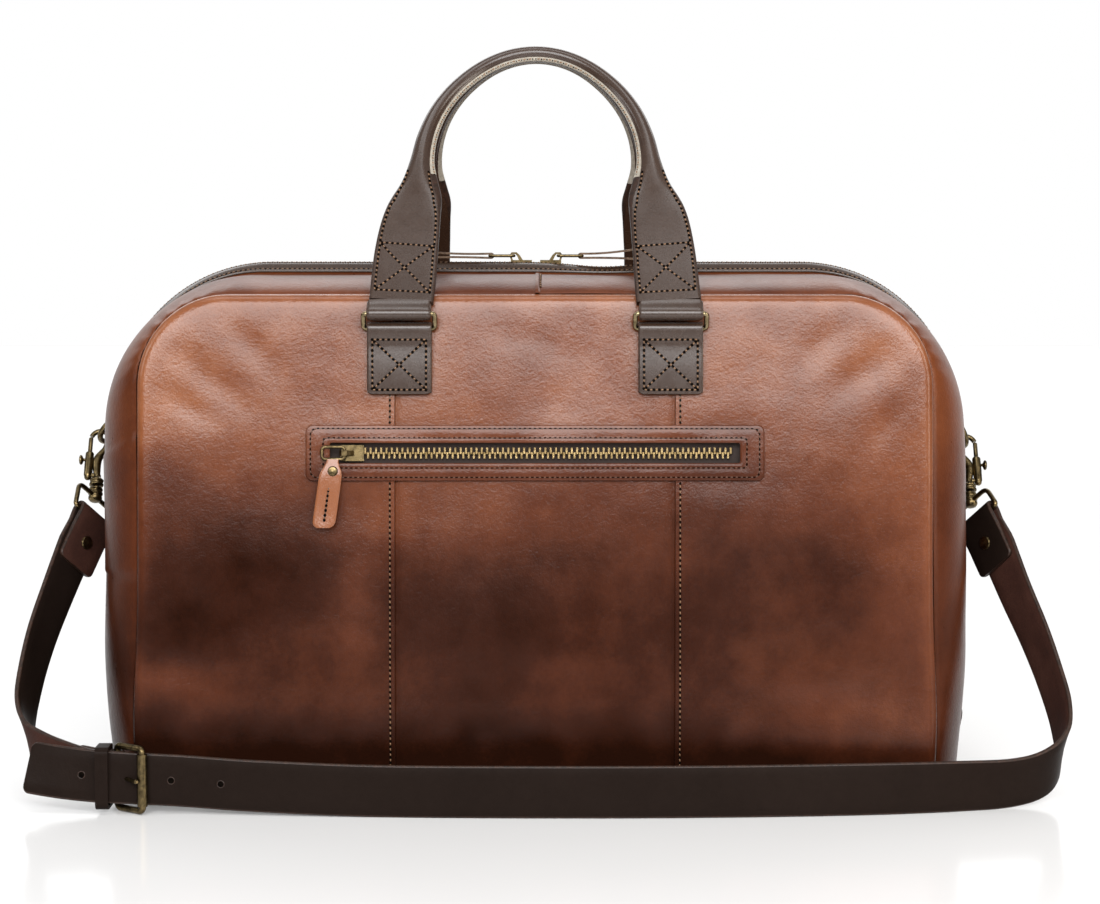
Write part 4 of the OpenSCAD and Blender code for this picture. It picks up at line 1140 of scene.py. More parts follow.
def binding(side):
    """Dark leather strip along the zip, over the gusset's edge, all the way round."""
    s = zip_stations(0.024)
    y = np.array([BINDING_OUT, 14.45, 14.1, 13, 11, 9, 7.2, 6, 5.5, BINDING_IN])
    lift = np.array([0.5, 1.1, 1.45, 1.5, 1.65, 1.65, 1.5, 1.3, 0.9, 0.4])
    halves = []
    for end in (LEFT, RIGHT):
        s_grid, y_grid = np.meshgrid(s, y, indexing="ij")
        half = gusset_point(s_grid, y_grid, end, side)
        half = half + gusset_normals(s_grid, y_grid, end, side) * lift[None, :, None]
        halves.append(half if end == LEFT else half[::-1][1:])
    grid = np.concatenate(halves)
    name = face_name(side)
    skin("binding_leather_" + name, grid, BINDING_T, [DARK, EDGE], from_core(grid),
         replaces=("zip_binding_" + name,), slot="dark_leather")
    rows = []
    for distance in BINDING_ROWS:
        for end in (LEFT, RIGHT):
            y_row = np.full_like(s, distance)
            normals = gusset_normals(s, y_row, end, side)
            rows.append((gusset_point(s, y_row, end, side) + normals * 1.55, normals))
    stitches("binding_stitches_" + name, rows, width=0.65, pitch=3.0, holes=0.62)


def zip_curve(out):
    """The middle of the zip, from the left end over the top to the right end."""
    s = zip_stations(0.012)
    y = np.full_like(s, BINDING_IN)
    halves = []
    for end in (LEFT, RIGHT):
        points = gusset_point(s, y, end, FRONT) * [1, 0, 1]
        outward = gusset_normals(s, y, end, FRONT) * [1, 0, 1]
        half = points + unit(outward) * out
        halves.append(half if end == LEFT else half[::-1][1:])
    return np.concatenate(halves)


def zip_tape():
    middle = zip_curve(-1.0)
    y = np.linspace(-8.7, 8.7, 9)
    grid = middle[:, None] + np.stack([0 * y, y, 0 * y], -1)[None]
    skin("zip_tape_cloth", grid, TAPE_T, [TAPE], from_core(grid), replaces=("main_zip_tape",),
         slot="zip_tape")


def tooth_template(size):
    """A tooth with its root on the tape (-Y), its head past the middle (+Y) and a bevelled face."""
    levels = [(0.74, -3.3, 0.7, -0.9), (0.74, -3.3, 0.7, 0.5), (0.52, -3.1, 0.45, 0.85)]
    points = [
        corner
        for half, root, head, z in levels
        for corner in ((-half, root, z), (half, root, z), (half, head, z), (-half, head, z))
    ]
    return np.array(points) * size, capped_faces(3, 4)


def teeth(name, path, out, pitch, replaces, size):
    """Both rows of a zip's teeth, in turn from one side and the other."""
    total = lengths(path)[-1]
    copies = []
    for row, way in ((0.0, 1.0), (0.5, -1.0)):
        at = (np.arange(int(total / pitch) - 1) + 0.5 + row) * pitch
        centres, outward = sample(path, at, out)
        ends, _ = sample(path, at + 0.5, out)
        along = unit(ends - centres)
        outward = unit(outward)
        sideways = unit(np.cross(outward, along)) * way
        copies.append(stamped(tooth_template(size), centres, along * way, sideways, outward))
    points, faces = joined(*copies)
    add_piece(name, points, faces, [ZIP_BRASS], replaces=replaces, slot="zip_brass", crease=30)


def main_teeth():
    path = zip_curve(0.2)
    outward = unit(zip_curve(1.2) - path)
    teeth("main_zip_teeth", path, outward, 2.9, ("main_zip_chain",), 0.92)


for facing in (FRONT, REAR):
    for end_side in (LEFT, RIGHT):
        gusset(end_side, facing)
    binding(facing)
gusset_stitches()
zip_tape()
main_teeth()

# ---------------------------------------------------------------- front pocket


FRAME_T = 1.9


def rounded_rectangle(w, h, r, long_steps, short_steps, corner_steps):
    """Points round a rectangle from the middle of its top edge, clockwise as seen from the front."""
    half_w, half_h = w / 2 - r, h / 2 - r
    points = [(x, h / 2) for x in np.linspace(0, half_w, long_steps)]
    corners = [
        (half_w, half_h, 90), (half_w, -half_h, 0), (-half_w, -half_h, -90), (-half_w, half_h, -180),
    ]
    sides = [
        [(w / 2, z) for z in np.linspace(half_h, -half_h, short_steps)],
        [(x, -h / 2) for x in np.linspace(half_w, -half_w, 2 * long_steps)],
        [(-w / 2, z) for z in np.linspace(-half_h, half_h, short_steps)],
        [(x, h / 2) for x in np.linspace(-half_w, 0, long_steps)],
    ]
    for (cx, cz, start), side_points in zip(corners, sides):
        for k in range(1, corner_steps):
            a = math.radians(start - 90 * k / corner_steps)
            points.append((cx + r * math.cos(a), cz + r * math.sin(a)))
        points += side_points
    return np.array(points)


def pocket_frame():
    """The leather frame round the pocket's zip, with two rows of stitches and raised lips."""
    outer = rounded_rectangle(POCKET_W, POCKET_H, 4, 40, 12, 5)
    inner = rounded_rectangle(WINDOW_W, WINDOW_H, 1.2, 40, 12, 5)
    across = np.array([0, 0.03, 0.09, 0.19, 0.27, 0.40, 0.55, 0.70, 0.79, 0.90, 0.965, 1.0])
    lift = np.array([1.9, 2.45, 2.7, 2.68, 2.55, 2.72, 2.76, 2.7, 2.5, 2.62, 2.4, 1.7])

    def ring(t, sunk=0.0):
        flat = mix(inner, outer, t)
        above = smoothstep(flat[:, 1] / 5)
        wobble = 0.25 * np.sin(flat[:, 0] / 17 + 3 * t) + 0.2 * np.sin(flat[:, 0] / 7.3)
        lip = (1 - t) ** 2 * (0.45 + wobble) * above
        return on_panel(flat[:, 0], POCKET_Z + flat[:, 1], np.interp(t, across, lift) + lip - sunk)

    grid = np.stack([ring(t)[0] for t in across], 1)
    tone = panel_tone_and_shading(grid[..., 0], grid[..., 2]) - 0.10
    skin("pocket_frame_leather", grid, FRAME_T, [BODY, BODY_EDGE], [0, -1, 0], patina_and_shading=tone,
         replaces=("pocket_frame",), slot="body_leather")
    rows = [ring(t, 0.12) for t in (0.27, 0.79)]
    stitches("pocket_stitches", rows, width=0.7, pitch=2.9, holes=0.95, tone=DARK_THREAD)


FACE_LEAN = math.radians(4.92)
FACE_UP = np.array([0, math.sin(FACE_LEAN), math.cos(FACE_LEAN)])
FACE_OUT = np.array([0, -math.cos(FACE_LEAN), math.sin(FACE_LEAN)])


def face_frame(x, up, out):
    """A place on the flat CAD face behind the pocket."""
    base = np.array([x, -face_y(POCKET_Z), POCKET_Z])
    return base + FACE_UP * up + FACE_OUT * out


def pocket_teeth():
    path = np.array([face_frame(x, 0, -0.9) for x in np.linspace(-113, 117, 60)])
    outward = np.broadcast_to(FACE_OUT, path.shape)
    teeth("pocket_zip_teeth", path, outward, 3.05, ("pocket_zip_chain",), 1.0)


PULL_X = -116.0
PULL_RING_OUT = 3.7
PULL_RING_H = 7
PULL_T = 2.9
# How far the leather pull swings to the left, as a slope
PULL_SWAY = 0.14


def pocket_pull_tab():
    """A strap end of lighter leather, doubled round the ring, with a rivet and stitches."""
    down = np.array([0, -2, -4.5, -7, -10, -14, -18, -22, -26, -30, -33.5, -36.5, -38.4, -39.2, -39.5])
    half = np.interp(-down, [0, 3, 6.5, 9.5, 36, 38.2, 39.5], [3.4, 3.6, 5.8, 6.5, 6.6, 5.9, 3.8])
    lift = np.interp(-down, [0, 2, 6, 12, 22, 32, 39.5], [1.9, 2.3, 3.0, 3.2, 2.7, 2.3, 2.6])
    across = np.array([-1, -0.93, -0.8, -0.4, 0, 0.4, 0.8, 0.93, 1])
    puff = np.array([-0.45, -0.12, 0.0, 0.10, 0.12, 0.10, 0.0, -0.12, -0.45])

    def on_pull(aside, d, out):
        x = PULL_X + PULL_SWAY * d + aside
        return face_frame(x, d - PULL_RING_H / 2, PULL_RING_OUT + 0.05 + out)

    grid = np.array([
        [on_pull(h * a, d, o + p) for a, p in zip(across, puff)] for d, h, o in zip(down, half, lift)
    ])
    tone = 0.93 + 0.08 * cloud(grid, 9, 21)
    skin("pocket_pull_leather", grid, PULL_T, [BODY, BODY_EDGE], FACE_OUT, patina_and_shading=tone,
         body="pocket_pull_tab", replaces=("pocket_pull_tab",), slot="tan_leather")
    centre = np.array([on_pull(0, d, 2.85) for d in np.linspace(-15.5, -35, 20)])
    stitches("pocket_pull_stitches", [(centre, FACE_OUT)], "pocket_pull_tab", width=0.8, pitch=3.0,
             holes=1.0, tone=DARK_THREAD)


pocket_frame()
pocket_teeth()
pocket_pull_tab()

# ---------------------------------------------------------------- chapes and handles

LOW_BAR = np.array([0, -109.564, 276.6])
HIGH_BAR = np.array([0, -114.564, 285.26])
FOLD_R = 3.77
CHAPE_L = 38
CHAPE_T = 2.15
CHAPE_CORNER = 3.2
CHAPE_BEND = math.radians(3.4)
HANDLE_LEAN = math.radians(34)


def half_turn(radius, step):
    """Points (along, out) of a fold round a bar, from its front over its top to its back."""
    return [(-radius * math.sin(a), radius * math.cos(a)) for a in np.radians(np.arange(0, 181, step))]


def box_and_cross(low, high, half):
    """The lines of a stitched box with a cross in it, as lists of (across, up)."""
    corners = np.array([(-half, low), (half, low), (half, high), (-half, high), (-half, low)])
    sides = [mix(a, b, np.linspace(0, 1, 12, endpoint=False)[:, None]) for a, b in zip(corners, corners[1:])]
    inset = 1.2
    start, end = np.array([-half + inset, low + inset]), np.array([half - inset, high - inset])
    diagonal = mix(start, end, np.linspace(0, 1, 24)[:, None])
    return [np.concatenate([*sides, corners[-1:]]), diagonal * [-1, 1], diagonal]


def chape(end, side):
    """A band folded round the ring's lower bar and sewn to the panel with a box and a cross."""
    mirror = np.array([1, -side, 1])
    bar = LOW_BAR + np.array([end * RING_X, 0, 0])
    down = np.array([0, -math.sin(CHAPE_BEND), -math.cos(CHAPE_BEND)])
    out = np.array([0, -math.cos(CHAPE_BEND), math.sin(CHAPE_BEND)])
    from_end = (0.7, 1.4, 2.4, 3.6, 6, 9, 12, 15, 18, 21, 24, 27, 30)
    front = [(CHAPE_L, 1.6), (CHAPE_L - 0.25, 2.2)]
    front += [(CHAPE_L - d, 2.5 + 0.28 * math.sin(math.pi * min(d / 26, 1))) for d in from_end]
    front += [(5.5, 3.0), (3, 3.45)]
    back = [(3, -3.3), (6, -2.6), (10, -2.3), (CHAPE_L - 1, -2.0)]
    path = [*front, *half_turn(FOLD_R, 15), *back]
    across = np.array([-1, -0.985, -0.95, -0.89, -0.7, -0.35, 0, 0.35, 0.7, 0.89, 0.95, 0.985, 1])
    crown = np.array([-0.55, -0.2, 0, 0.08, 0.1, 0.1, 0.12, 0.1, 0.1, 0.08, 0, -0.2, -0.55])
    grid = []
    for k, (d, o) in enumerate(path):
        half = rounded_half_widths(CHAPE_L - d if k < len(front) else CHAPE_L, BAND_W / 2, CHAPE_CORNER)
        way = 1 if o >= 0 else -1
        centre = bar + down * d
        grid.append([centre + out * (o + way * c) + [a * half, 0, 0] for a, c in zip(across, crown)])
    grid = np.array(grid) * mirror
    # round the bar, outwards is away from it
    from_bar = (grid - bar * mirror) * [0, 1, 1]
    outward = from_bar * np.clip(1 - np.linalg.norm(from_bar, axis=-1, keepdims=True) / 8, 0, 1)
    names = (face_name(side), end_name(end))
    skin("chape_leather_%s_%s" % names, grid, CHAPE_T, [DARK, EDGE], outward,
         replaces=("%s_chape_%s" % names,), slot="dark_leather")
    # the needle goes through both layers, so its rows sit in the leather's face
    rows = []
    for line in box_and_cross(6.4, 35.2, 15.4):
        points = np.array([bar + np.array([a, 0, 0]) + down * d + out * 2.90 for a, d in line]) * mirror
        rows.append((points, out * mirror))
    stitches("chape_stitches_%s_%s" % names, rows)


# Half of the arch, from the ring to the top of the grip: places in the handle's own plane, and
# at each of them half the width, half the thickness, and how round it is
HANDLE_ROUTE = [
    (76.8, 8), (76.4, 14), (75.6, 27), (74.8, 41), (73.4, 56), (72.0, 68), (70.6, 79), (69.6, 91),
    (68.4, 106), (65.6, 124), (59.8, 141.3), (51.2, 156.3), (40.2, 169), (28, 178.6), (14.5, 184.8), (0, 187),
]
HANDLE_HALF_W = [18.5, 18.5, 18.5, 18.3, 17.7, 16.3, 13.6, 9.2, 6.0, 5.0, 4.6, 4.35, 4.2, 4.1, 4.1, 4.1]
HANDLE_HALF_T = [2.3, 2.3, 2.35, 2.4, 2.6, 3.0, 3.5, 4.4, 4.9, 4.9, 4.7, 4.5, 4.4, 4.3, 4.3, 4.3]
HANDLE_ROUND = [0, 0, 0, 0, 0.05, 0.2, 0.45, 0.8, 1, 1, 1, 1, 1, 1, 1, 1]
# How far the grip's sewn edge stands out, as a share of its half width
GRIP_FIN = 0.42


def flat_section():
    """A strap of two layers: 8 points over the top, 6 round each edge, 8 underneath."""
    top = [(x, 1.0 + 0.05 * (1 - x * x)) for x in np.linspace(-0.90, 0.90, 8)]
    edge = [(0.96, 0.93), (0.995, 0.66), (0.985, 0.12), (0.985, -0.12), (0.995, -0.66), (0.96, -0.93)]
    under = [(-x, -z) for x, z in top]
    other = [(-x, -z) for x, z in edge]
    return np.array(top + edge + under + other)


def grip_section():
    """The grip: round, with the two edges sewn together as a thin fin on the inside."""
    top = [(math.cos(a), math.sin(a)) for a in np.radians(np.linspace(140, 40, 8))]
    edge = [(math.cos(a), math.sin(a)) for a in np.radians([26, 14, 4, -4, -14, -26])]
    under = [(math.cos(a), math.sin(a)) for a in np.radians(np.linspace(-40, -140, 8))]
    tip = -1 - GRIP_FIN
    other = [(-0.97, -0.36), (tip + 0.1, -0.27), (tip, -0.12), (tip, 0.12), (tip + 0.1, 0.27), (-0.97, 0.36)]
    return np.array(top + edge + under + other)


def handle_path():
    """Stations of the whole arch: place in the handle's plane, half width, half thickness, roundness."""
    half = np.array(HANDLE_ROUTE, float)
    whole = np.concatenate([half * [-1, 1], half[::-1][1:]])
    sizes = np.stack([HANDLE_HALF_W, HANDLE_HALF_T, HANDLE_ROUND], 1)
    sizes = np.concatenate([sizes, sizes[::-1][1:]])
    return smooth(whole, 7), smooth(sizes, 7)


def handle(side):
    mirror = np.array([1, -side, 1])
    route, sizes = handle_path()
    # the arch's plane leans back towards the middle of the bag
    up = np.array([0, math.sin(HANDLE_LEAN), math.cos(HANDLE_LEAN)])
    out = np.array([0, -math.cos(HANDLE_LEAN), math.sin(HANDLE_LEAN)])
    along = unit(np.gradient(route, axis=0))
    # across points to the outside of the arch all the way
    across = np.stack([-along[:, 1], along[:, 0]], 1)
    flat, grip = flat_section(), grip_section()
    half_w, half_t, roundness = sizes[:, 0], sizes[:, 1], np.clip(sizes[:, 2], 0, 1)
    section = mix(flat[None], grip[None], smoothstep(roundness)[:, None, None])
    # a little hand-made unevenness
    travel = lengths(route)
    section = section * (1 + 0.012 * np.sin(travel / 13)[:, None, None])
    place = route[:, None] + across[:, None] * (section[..., 0] * half_w[:, None])[..., None]
    height = section[..., 1] * half_t[:, None]
    grid = HIGH_BAR + np.stack([place[..., 0], 0 * height, 0 * height], -1)
    grid = grid + place[..., 1:2] * up + height[..., None] * out
    count, sides = len(route), len(flat)
    ring, column = np.divmod(np.arange((count - 1) * sides), sides)
    outer_edge = (column >= 8) & (column <= 12)
    inner_edge = (column >= 22) & (column <= 26)
    # the flat band has two painted edges; on the grip one is folded away and the other is raw, in a light
    # grey that is partly a painted highlight
    marks = np.where(outer_edge & (roundness[ring] <= 0.35) | inner_edge, 1, 0)
    marks[inner_edge & (roundness[ring] > 0.9)] = 2
    folds = handle_folds(up, out)
    points, faces = joined((grid.reshape(-1, 3), capped_faces(count, sides)), folds)
    marks = [*marks, 1, 1, *([0] * len(folds[1]))]
    body = face_name(side) + "_handle"
    add_piece(body + "_leather", points * mirror, faces, [DARK, EDGE, RAW_EDGE_AND_SHEEN], body, "dark_leather",
              (body,), marks, crease=55)
    handle_stitches(body, up, out, mirror, route, across, half_w, half_t, roundness)


def handle_folds(up, out):
    """The ends of the handle's band, rolled round the rings' upper bars."""
    parts = []
    for end in (LEFT, RIGHT):
        bar = HIGH_BAR + np.array([end * RING_X, 0, 0])
        front = [(8.2, 2.3), (6.8, 2.36), (5.4, 2.55), (4, 2.9), (2.6, 3.35), (1.2, 3.66)]
        path = [*front, *half_turn(FOLD_R, 12), *((u, -o) for u, o in front[::-1])]
        core = [(8.2, 0.0), (6.8, 0.1), (5.4, 0.4), (4, 0.9), (2.6, 1.3), (1.2, 1.55)]
        inner = [*core, *half_turn(1.6, 12), *((u, -o) for u, o in core[::-1])]
        flat = np.linspace(-0.90, 0.90, 8)
        across = np.array([-0.995, -0.96, *flat, 0.96, 0.995]) * BAND_W / 2
        trim = np.array([0.78, 0.16, *(-0.115 * (1 - flat * flat)), 0.16, 0.78])
        outer_rows, inner_rows = [], []
        for (u, o), (iu, io) in zip(path, inner):
            shrunk = 1 - trim / (math.hypot(min(u, 0), o) or 1)
            outer_rows.append([
                bar + np.array([a, 0, 0]) + (up * u + out * o) * k for a, k in zip(across, shrunk)
            ])
            inner_rows.append([bar + np.array([a, 0, 0]) + up * iu + out * io for a in across])
        grid = np.array([*outer_rows, *inner_rows[::-1]])
        rows, columns = grid.shape[:2]
        faces = [tuple(f) for f in grid_quads(rows, columns)]
        last_row = (rows - 1) * columns
        faces += [(k, k + 1, last_row + k + 1, last_row + k) for k in range(columns - 1)]
        for column in (0, columns - 1):
            for k in range(rows // 2 - 1):
                a, b = k * columns + column, (k + 1) * columns + column
                c, d = (rows - 2 - k) * columns + column, (rows - 1 - k) * columns + column
                faces.append((a, b, c, d))
        parts.append((grid.reshape(-1, 3), faces))
    return joined(*parts)


def handle_stitches(body, up, out, mirror, route, across, half_w, half_t, roundness):
    """Rows along both edges of the band, a box and a cross near each ring, and the grip's seam."""
    rows, inner_rows = [], []
    middle = len(route) // 2

    def lifted(place, height):
        height = np.broadcast_to(height, place.shape[:1])
        base = HIGH_BAR + np.stack([place[:, 0], 0 * height, 0 * height], -1)
        return (base + place[:, 1:2] * up + height[:, None] * out) * mirror

    for end in (LEFT, RIGHT):
        part = slice(0, middle) if end == LEFT else slice(None, middle - 1, -1)
        path, away, w, t, r = (v[part] for v in (route, across, half_w, half_t, roundness))
        flat = (path[:, 1] > 47) & (r < 0.92)
        for edge in (-1, 1):
            inset = np.where(r[flat] > 0.3, w[flat] * 0.80, w[flat] - 2.4)
            place = path[flat] + away[flat] * (edge * inset)[:, None]
            heights = t[flat] * np.interp(r[flat], [0, 0.3, 1], [1.03, 0.98, 0.62])
            rows.append((lifted(place, heights), out * mirror))
        # the box follows the band's taper
        for line in box_and_cross(14, 46, 15):
            centre, width, thick = sample_station(path, line[:, 1], away, w, t)
            place = centre[0] + centre[1] * (line[:, 0] / 15 * (width - 2.6))[:, None]
            rows.append((lifted(place, thick * 1.03), out * mirror))
        grip = r > 0.9
        place = path[grip] - away[grip] * (w[grip] * 1.28)[:, None]
        inner_rows.append((lifted(place, t[grip] * 0.27), out * mirror))
    stitches(body + "_stitches", rows, body)
    stitches(body + "_seam_stitches", inner_rows, body, width=0.8, pitch=3.4, holes=0.5)


def sample_station(path, ups, away, w, t):
    """Centre, direction across, half width and half thickness of the band at these heights."""
    order = np.argsort(path[:, 1])
    known = path[order, 1]
    centre = np.stack([np.interp(ups, known, path[order, k]) for k in (0, 1)], 1)
    direction = np.stack([np.interp(ups, known, away[order, k]) for k in (0, 1)], 1)
    return (centre, unit(direction)), np.interp(ups, known, w[order]), np.interp(ups, known, t[order])


for facing in (FRONT, REAR):
    for end_side in (LEFT, RIGHT):
        chape(end_side, facing)
    handle(facing)

# ---------------------------------------------------------------- pulls of the main zip

PULL_BAR_X = 13.5
PULL_BAR_Z = 317.4
LINK_L = 15
LINK_W = 7.5
LINK_R = 0.9
LINK_CORNER = 1.8
STRIP_L = 46
STRIP_T = 1.25
STRIP_FOLD_R = 1.95


def link_wire(x, z, end):
    """A rounded rectangle of wire, flat in the XY plane, from x on towards that end of the zip."""
    r = LINK_CORNER
    reach, aside = LINK_L / 2 - r, LINK_W / 2 - r
    corners = [(reach, aside, 0), (-reach, aside, 90), (-reach, -aside, 180), (reach, -aside, 270)]
    points = []
    for cx, cy, start in corners:
        for a in np.radians(start + np.linspace(0, 90, 5)):
            points.append((x + end * (LINK_L / 2 + cx + r * math.cos(a)), cy + r * math.sin(a), z))
    return tube(points, LINK_R, 10, [0, 0, 1], closed=True)


def zip_pull(end, upper_rise, lower_rise):
    """A wire link, and a strip of leather folded round it whose two layers have sprung apart."""
    body = "zip_pull_" + end_name(end)
    points, faces = link_wire(end * PULL_BAR_X, PULL_BAR_Z, end)
    add_piece(body + "_link", points, faces, [BRASS], body, "antique_brass")
    reach = [46, 45.6, 44.8, 43, 40, 34, 28, 22, 16, 11, 8, 5, 3]
    upper, lower = [], []
    for d in reach:
        share = d / STRIP_L
        belly = math.sin(math.pi * share)
        upper.append((d, STRIP_FOLD_R + upper_rise * share**1.6 - 0.5 * belly))
        lower.append((d, -STRIP_FOLD_R + lower_rise * share**1.4 + 0.35 * belly))
    across = np.array([-1, -0.94, -0.8, -0.3, 0.3, 0.8, 0.94, 1])
    grid = []
    for d, h in [*upper, *half_turn(STRIP_FOLD_R, 20), *lower[::-1]]:
        half = np.interp(d, [0, 3, 8, 41, 44, 46], [2.7, 2.8, 5.5, 5.6, 5.0, 3.4])
        x = end * (PULL_BAR_X + LINK_L - LINK_R + d)
        grid.append([(x, a * half, PULL_BAR_Z + h) for a in across])
    grid = np.array(grid)
    outward = (grid - [0, 0, PULL_BAR_Z]) * [0, 0, 1]
    skin(body + "_leather", grid, STRIP_T, [DARK, TAN_EDGE, FLESH], outward, body=body,
         slot="dark_leather", replaces=(body,))


zip_pull(LEFT, 1.6, 0.4)
zip_pull(RIGHT, 5.2, -1.2)

# ---------------------------------------------------------------- snap hooks and strap loops

D_HINGE = np.array([259.2, 24.4, 213])
D_BAR = unit([0, 0.85, -0.53])
D_DEPTH = 18
D_FALL = {LEFT: math.radians(40), RIGHT: math.radians(58)}
HOOK_UP = unit([0, 0.53, 0.85])
# The middle and the radius of the hook's eye, above the swivel
EYE_Z = 42
EYE_R = 5.8
BOLT_X = -EYE_R
BORE_R = 1.75
LOOP_HALF_BAR = 17.5
LOOP_HALF_TOP = 15.8


def hook_place(side):
    """Turns points of the hook's own frame (Z up the shank, X towards the bag) into the scene's."""
    fall = D_FALL[side]
    out = np.array([math.cos(fall), math.sin(fall) * D_BAR[2], -math.sin(fall) * D_BAR[1]])
    origin = D_HINGE + D_DEPTH * out - (EYE_Z + 0.8) * HOOK_UP
    towards_bag = np.array([-1.0, 0, 0])
    frame_axes = np.stack([towards_bag, np.cross(HOOK_UP, towards_bag), HOOK_UP])
    return lambda points: (origin + np.asarray(points, float) @ frame_axes) * [side, 1, 1]


def hook_barrel():
    """The slotted barrel in which the bolt slides, open towards the thumb knob."""
    outer_angle = np.radians(np.linspace(158, -158, 26))
    inner_angle = np.radians(np.linspace(-145, 145, 14))
    profile = [(15.6, 2.15), (16.4, 2.55), (17.2, 2.65), (24.0, 2.75), (31.6, 2.65), (32.3, 2.5), (32.7, 2.2)]
    rings = []
    for z, r in profile:
        outer = [(BOLT_X + r * math.cos(a), r * math.sin(a), z) for a in outer_angle]
        inner = [(BOLT_X + BORE_R * math.cos(a), BORE_R * math.sin(a), z) for a in inner_angle]
        rings.append(outer + inner)
    return np.array(rings).reshape(-1, 3), capped_faces(len(rings), len(rings[0]))


def hook(side):
    """Turned swivel end, slim shank that sweeps up into the hook, and the bolt's barrel."""
    place = hook_place(side)
    turned = lathe([
        (0.01, 13.2), (1.65, 13.2), (1.65, 9.2), (3.4, 9.2), (4.3, 9.7), (4.5, 10.5), (4.2, 11.2),
        (3.4, 11.6), (3.5, 12.1), (4.2, 12.6), (4.3, 13.3), (3.9, 13.9), (3.0, 14.4), (2.5, 15.5),
        (2.3, 17.0), (0.01, 18.5),
    ], (0, 0, 0), (0, 0, 1))
    turn = np.radians(np.arange(-40, 161, 10))
    line = [
        (0, 0, 15), (-0.3, 0, 18), (-0.6, 0, 21), (-0.9, 0, 25), (-0.3, 0, 28.6), (1.7, 0, 32), (3.6, 0, 35),
        *[(EYE_R * math.cos(a), 0, EYE_Z + EYE_R * math.sin(a)) for a in turn],
    ]
    thick = [2.1, 2.2, 2.45, 2.75, 2.7, 2.35, 2.0, *np.linspace(1.8, 1.55, len(turn))]
    shank = tube(smooth(line, 3), smooth(np.array(thick)[:, None], 3)[:, 0], 14, [0, 1, 0])
    foot_profile = [(0.01, 13.7), (1.1, 13.9), (1.9, 14.6), (2.2, 15.6), (0.01, 15.8)]
    foot = lathe(foot_profile, (BOLT_X, 0, 0), (0, 0, 1))
    web = tube([(0.2, 0, 16.2), (BOLT_X + 2.3, 0, 17)], 1.5, 12, [0, 1, 0])
    bolt_profile = [(0.01, 22.5), (1.2, 22.5), (1.4, 22.9), (1.4, 42.6), (1.1, 43.0), (0.01, 43.1)]
    bolt = lathe(bolt_profile, (BOLT_X, 0, 0), (0, 0, 1), 20)
    knob = lathe([
        (0.01, 0.5), (0.9, 0.5), (0.9, 3.2), (1.3, 3.8), (2.5, 4.2), (3.1, 4.8), (3.15, 5.4), (2.5, 6.0),
        (0.01, 6.3),
    ], (BOLT_X, 0, 27.7), (-1, 0, 0), 24)
    for piece, body, parts in (
        ("snap_hook_", "hook_", (turned, shank, hook_barrel(), foot, web)),
        ("snap_bolt_", "hook_trigger_", (bolt, knob)),
    ):
        points, faces = joined(*parts)
        body += end_name(side)
        add_piece(piece + end_name(side), place(points), faces, [BRASS], body, "antique_brass", (body,))


def rounded_corner(before, corner, after, size):
    start = corner + unit(before - corner) * size
    end = corner + unit(after - corner) * size
    return [(1 - t) ** 2 * start + 2 * t * (1 - t) * corner + t**2 * end for t in np.linspace(0, 1, 6)]


def strap_loop(side):
    """The wire loop that holds the strap's end, and the swivel's cup with its post."""
    place = hook_place(side)
    flip = np.array([side, 1, 1])
    bar, across = LOOP_BAR * flip, LOOP_ACROSS * flip
    top = place([0, 0, 2.0])
    corners = [
        bar - across * LOOP_HALF_BAR, bar + across * LOOP_HALF_BAR,
        top + across * LOOP_HALF_TOP, top - across * LOOP_HALF_TOP,
    ]
    route = []
    for k, size in enumerate((2.4, 2.4, 5.0, 5.0)):
        route += rounded_corner(corners[k - 1], corners[k], corners[(k + 1) % 4], size)
    off_plane = np.cross(corners[1] - corners[0], corners[2] - corners[1])
    wire = tube(route, LOOP_WIRE_R, 12, off_plane, closed=True)
    cup_points, cup_faces = lathe([
        (0.01, -1.3), (2.2, -1.3), (3.5, -0.7), (4.2, 0.4), (4.3, 1.6), (3.7, 2.2), (3.8, 2.8),
        (4.4, 3.4), (4.5, 4.4), (4.1, 5.1), (3.5, 5.5), (3.6, 6.1), (4.3, 6.6), (4.2, 7.4), (1.5, 7.5),
        (1.5, 12.4), (0.01, 12.5),
    ], (0, 0, 0), (0, 0, 1))
    points, faces = joined(wire, (place(cup_points), cup_faces))
    add_piece("strap_wire_" + end_name(side), points, faces, [BRASS], slot="antique_brass",
              replaces=("strap_loop_" + end_name(side),))


for hook_side in (LEFT, RIGHT):
    hook(hook_side)
    strap_loop(hook_side)

# ---------------------------------------------------------------- pieces that keep their CAD shape


def dress(material, width, *names):
    """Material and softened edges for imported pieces; their meshes stay as they are."""
    for name in names:
        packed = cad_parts[name]
        packed.data.materials.clear()
        packed.data.materials.append(material)
        if width:
            add_bevel(packed, width)


dress(RING_BRASS, 0, "front_ring_left", "front_ring_right", "rear_ring_left", "rear_ring_right")
dress(BRASS, 0, "d_ring_left", "d_ring_right", "buckle_frame", "buckle_roller", "buckle_prong")
dress(BRASS, 0, "pocket_pull_ring", "pocket_tab_rivet")
dress(BRASS, 0.2, "strap_rivets", "base_feet")
dress(BRASS, 0.35, "zip_slider_left", "zip_slider_right", "pocket_slider")
dress(DARK, 0.4, "zip_end_tab_left", "zip_end_tab_right", "d_ring_tab_left", "d_ring_tab_right")
dress(DARK, 0.4, "bottom_panel")
dress(STRAP, 0.9, "strap_keeper")
dress(BOARD, 0.3, "base_board")
dress(TAPE, 0, "pocket_zip_tape")
dress(CLOTH, 0, "lining_panels", "lining_gusset", "pocket_pouch")

# ---------------------------------------------------------------- stage and light


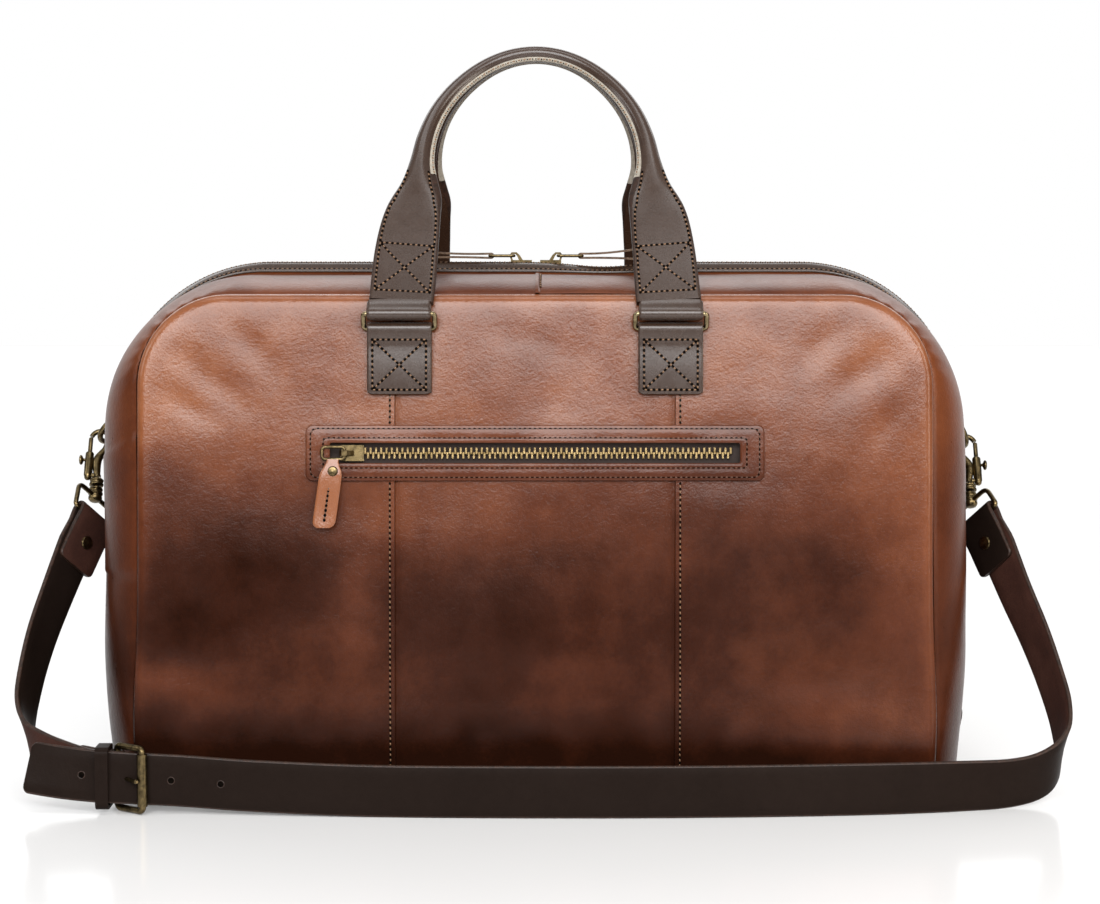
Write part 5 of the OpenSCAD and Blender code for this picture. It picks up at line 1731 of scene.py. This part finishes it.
def area_light(name, place, target, size, power, size_y=None, colour=(1, 1, 1)):
    data = bpy.data.lights.new(name, "AREA")
    data.shape = "RECTANGLE"
    data.size = size
    data.size_y = size_y or size
    data.energy = power
    data.color = colour
    light = bpy.data.objects.new(name, data)
    light.location = place
    direction = Vector(target) - Vector(place)
    light.rotation_euler = direction.to_track_quat("-Z", "Y").to_euler()
    bpy.context.scene.collection.objects.link(light)


def make_floor():
    material, shader = new_material("floor")
    speckle = noise_texture(material, object_coords(material), 6, 2)
    colour = ramp(material, speckle, [(0.0, (0.65, 0.65, 0.65)), (1.0, (0.67, 0.67, 0.67))])
    feed(material, shader, {"Base Color": colour, "Roughness": 0.14})
    feed(material, shader, {"Emission Color": (1, 1, 1, 1), "Emission Strength": 0.10})
    mesh = bpy.data.meshes.new("floor")
    far = 6
    corners = [(-far, -far, 0), (far, -far, 0), (far, far, 0), (-far, far, 0)]
    mesh.from_pydata(corners, [], [(0, 1, 2, 3)])
    mesh.materials.append(material)
    floor = bpy.data.objects.new("floor", mesh)
    bpy.context.scene.collection.objects.link(floor)


def make_world():
    """A white backdrop and ceiling; low down in front, where the photographer stands, it is dim."""
    world = bpy.data.worlds.new("studio")
    world.use_nodes = True
    direction = node(world, "TexCoord", {}).outputs["Generated"]
    parts = node(world, "SeparateXYZ", {"Vector": direction})
    behind = ramp(world, parts.outputs["Y"], [(0.30, (0, 0, 0)), (0.62, (1, 1, 1))])
    greys = [(0.0, 0.04), (0.30, 0.10), (0.60, 0.45), (0.9, 0.6)]
    above = ramp(world, parts.outputs["Z"], [(place, (grey, grey, grey)) for place, grey in greys])
    colour = mixed(world, 1.0, behind, above, "LIGHTEN")
    feed(world, world.node_tree.nodes["Background"], {"Color": colour, "Strength": 1.0})
    bpy.context.scene.world = world


make_floor()
make_world()
area_light("front_box", (0.0, -2.75, 1.42), (0, -0.1, 0.25), 3.2, 150, 1.5)
area_light("backdrop", (0, 4.2, 3.2), (0, 4.2, 0), 8, 170, 3)
area_light("overhead", (-0.1, -0.35, 1.9), (0, -0.05, 0.3), 1.3, 8, 0.45)
area_light("right_strip", (1.4, -0.9, 0.75), (0.2, 0, 0.18), 0.35, 12, 1.2, (1.0, 0.93, 0.84))
area_light("left_strip", (-1.5, -0.55, 0.9), (-0.2, 0, 0.25), 0.35, 5, 0.8)
bpy.context.scene.view_settings.view_transform = "Standard"
bpy.context.scene.view_settings.look = "None"
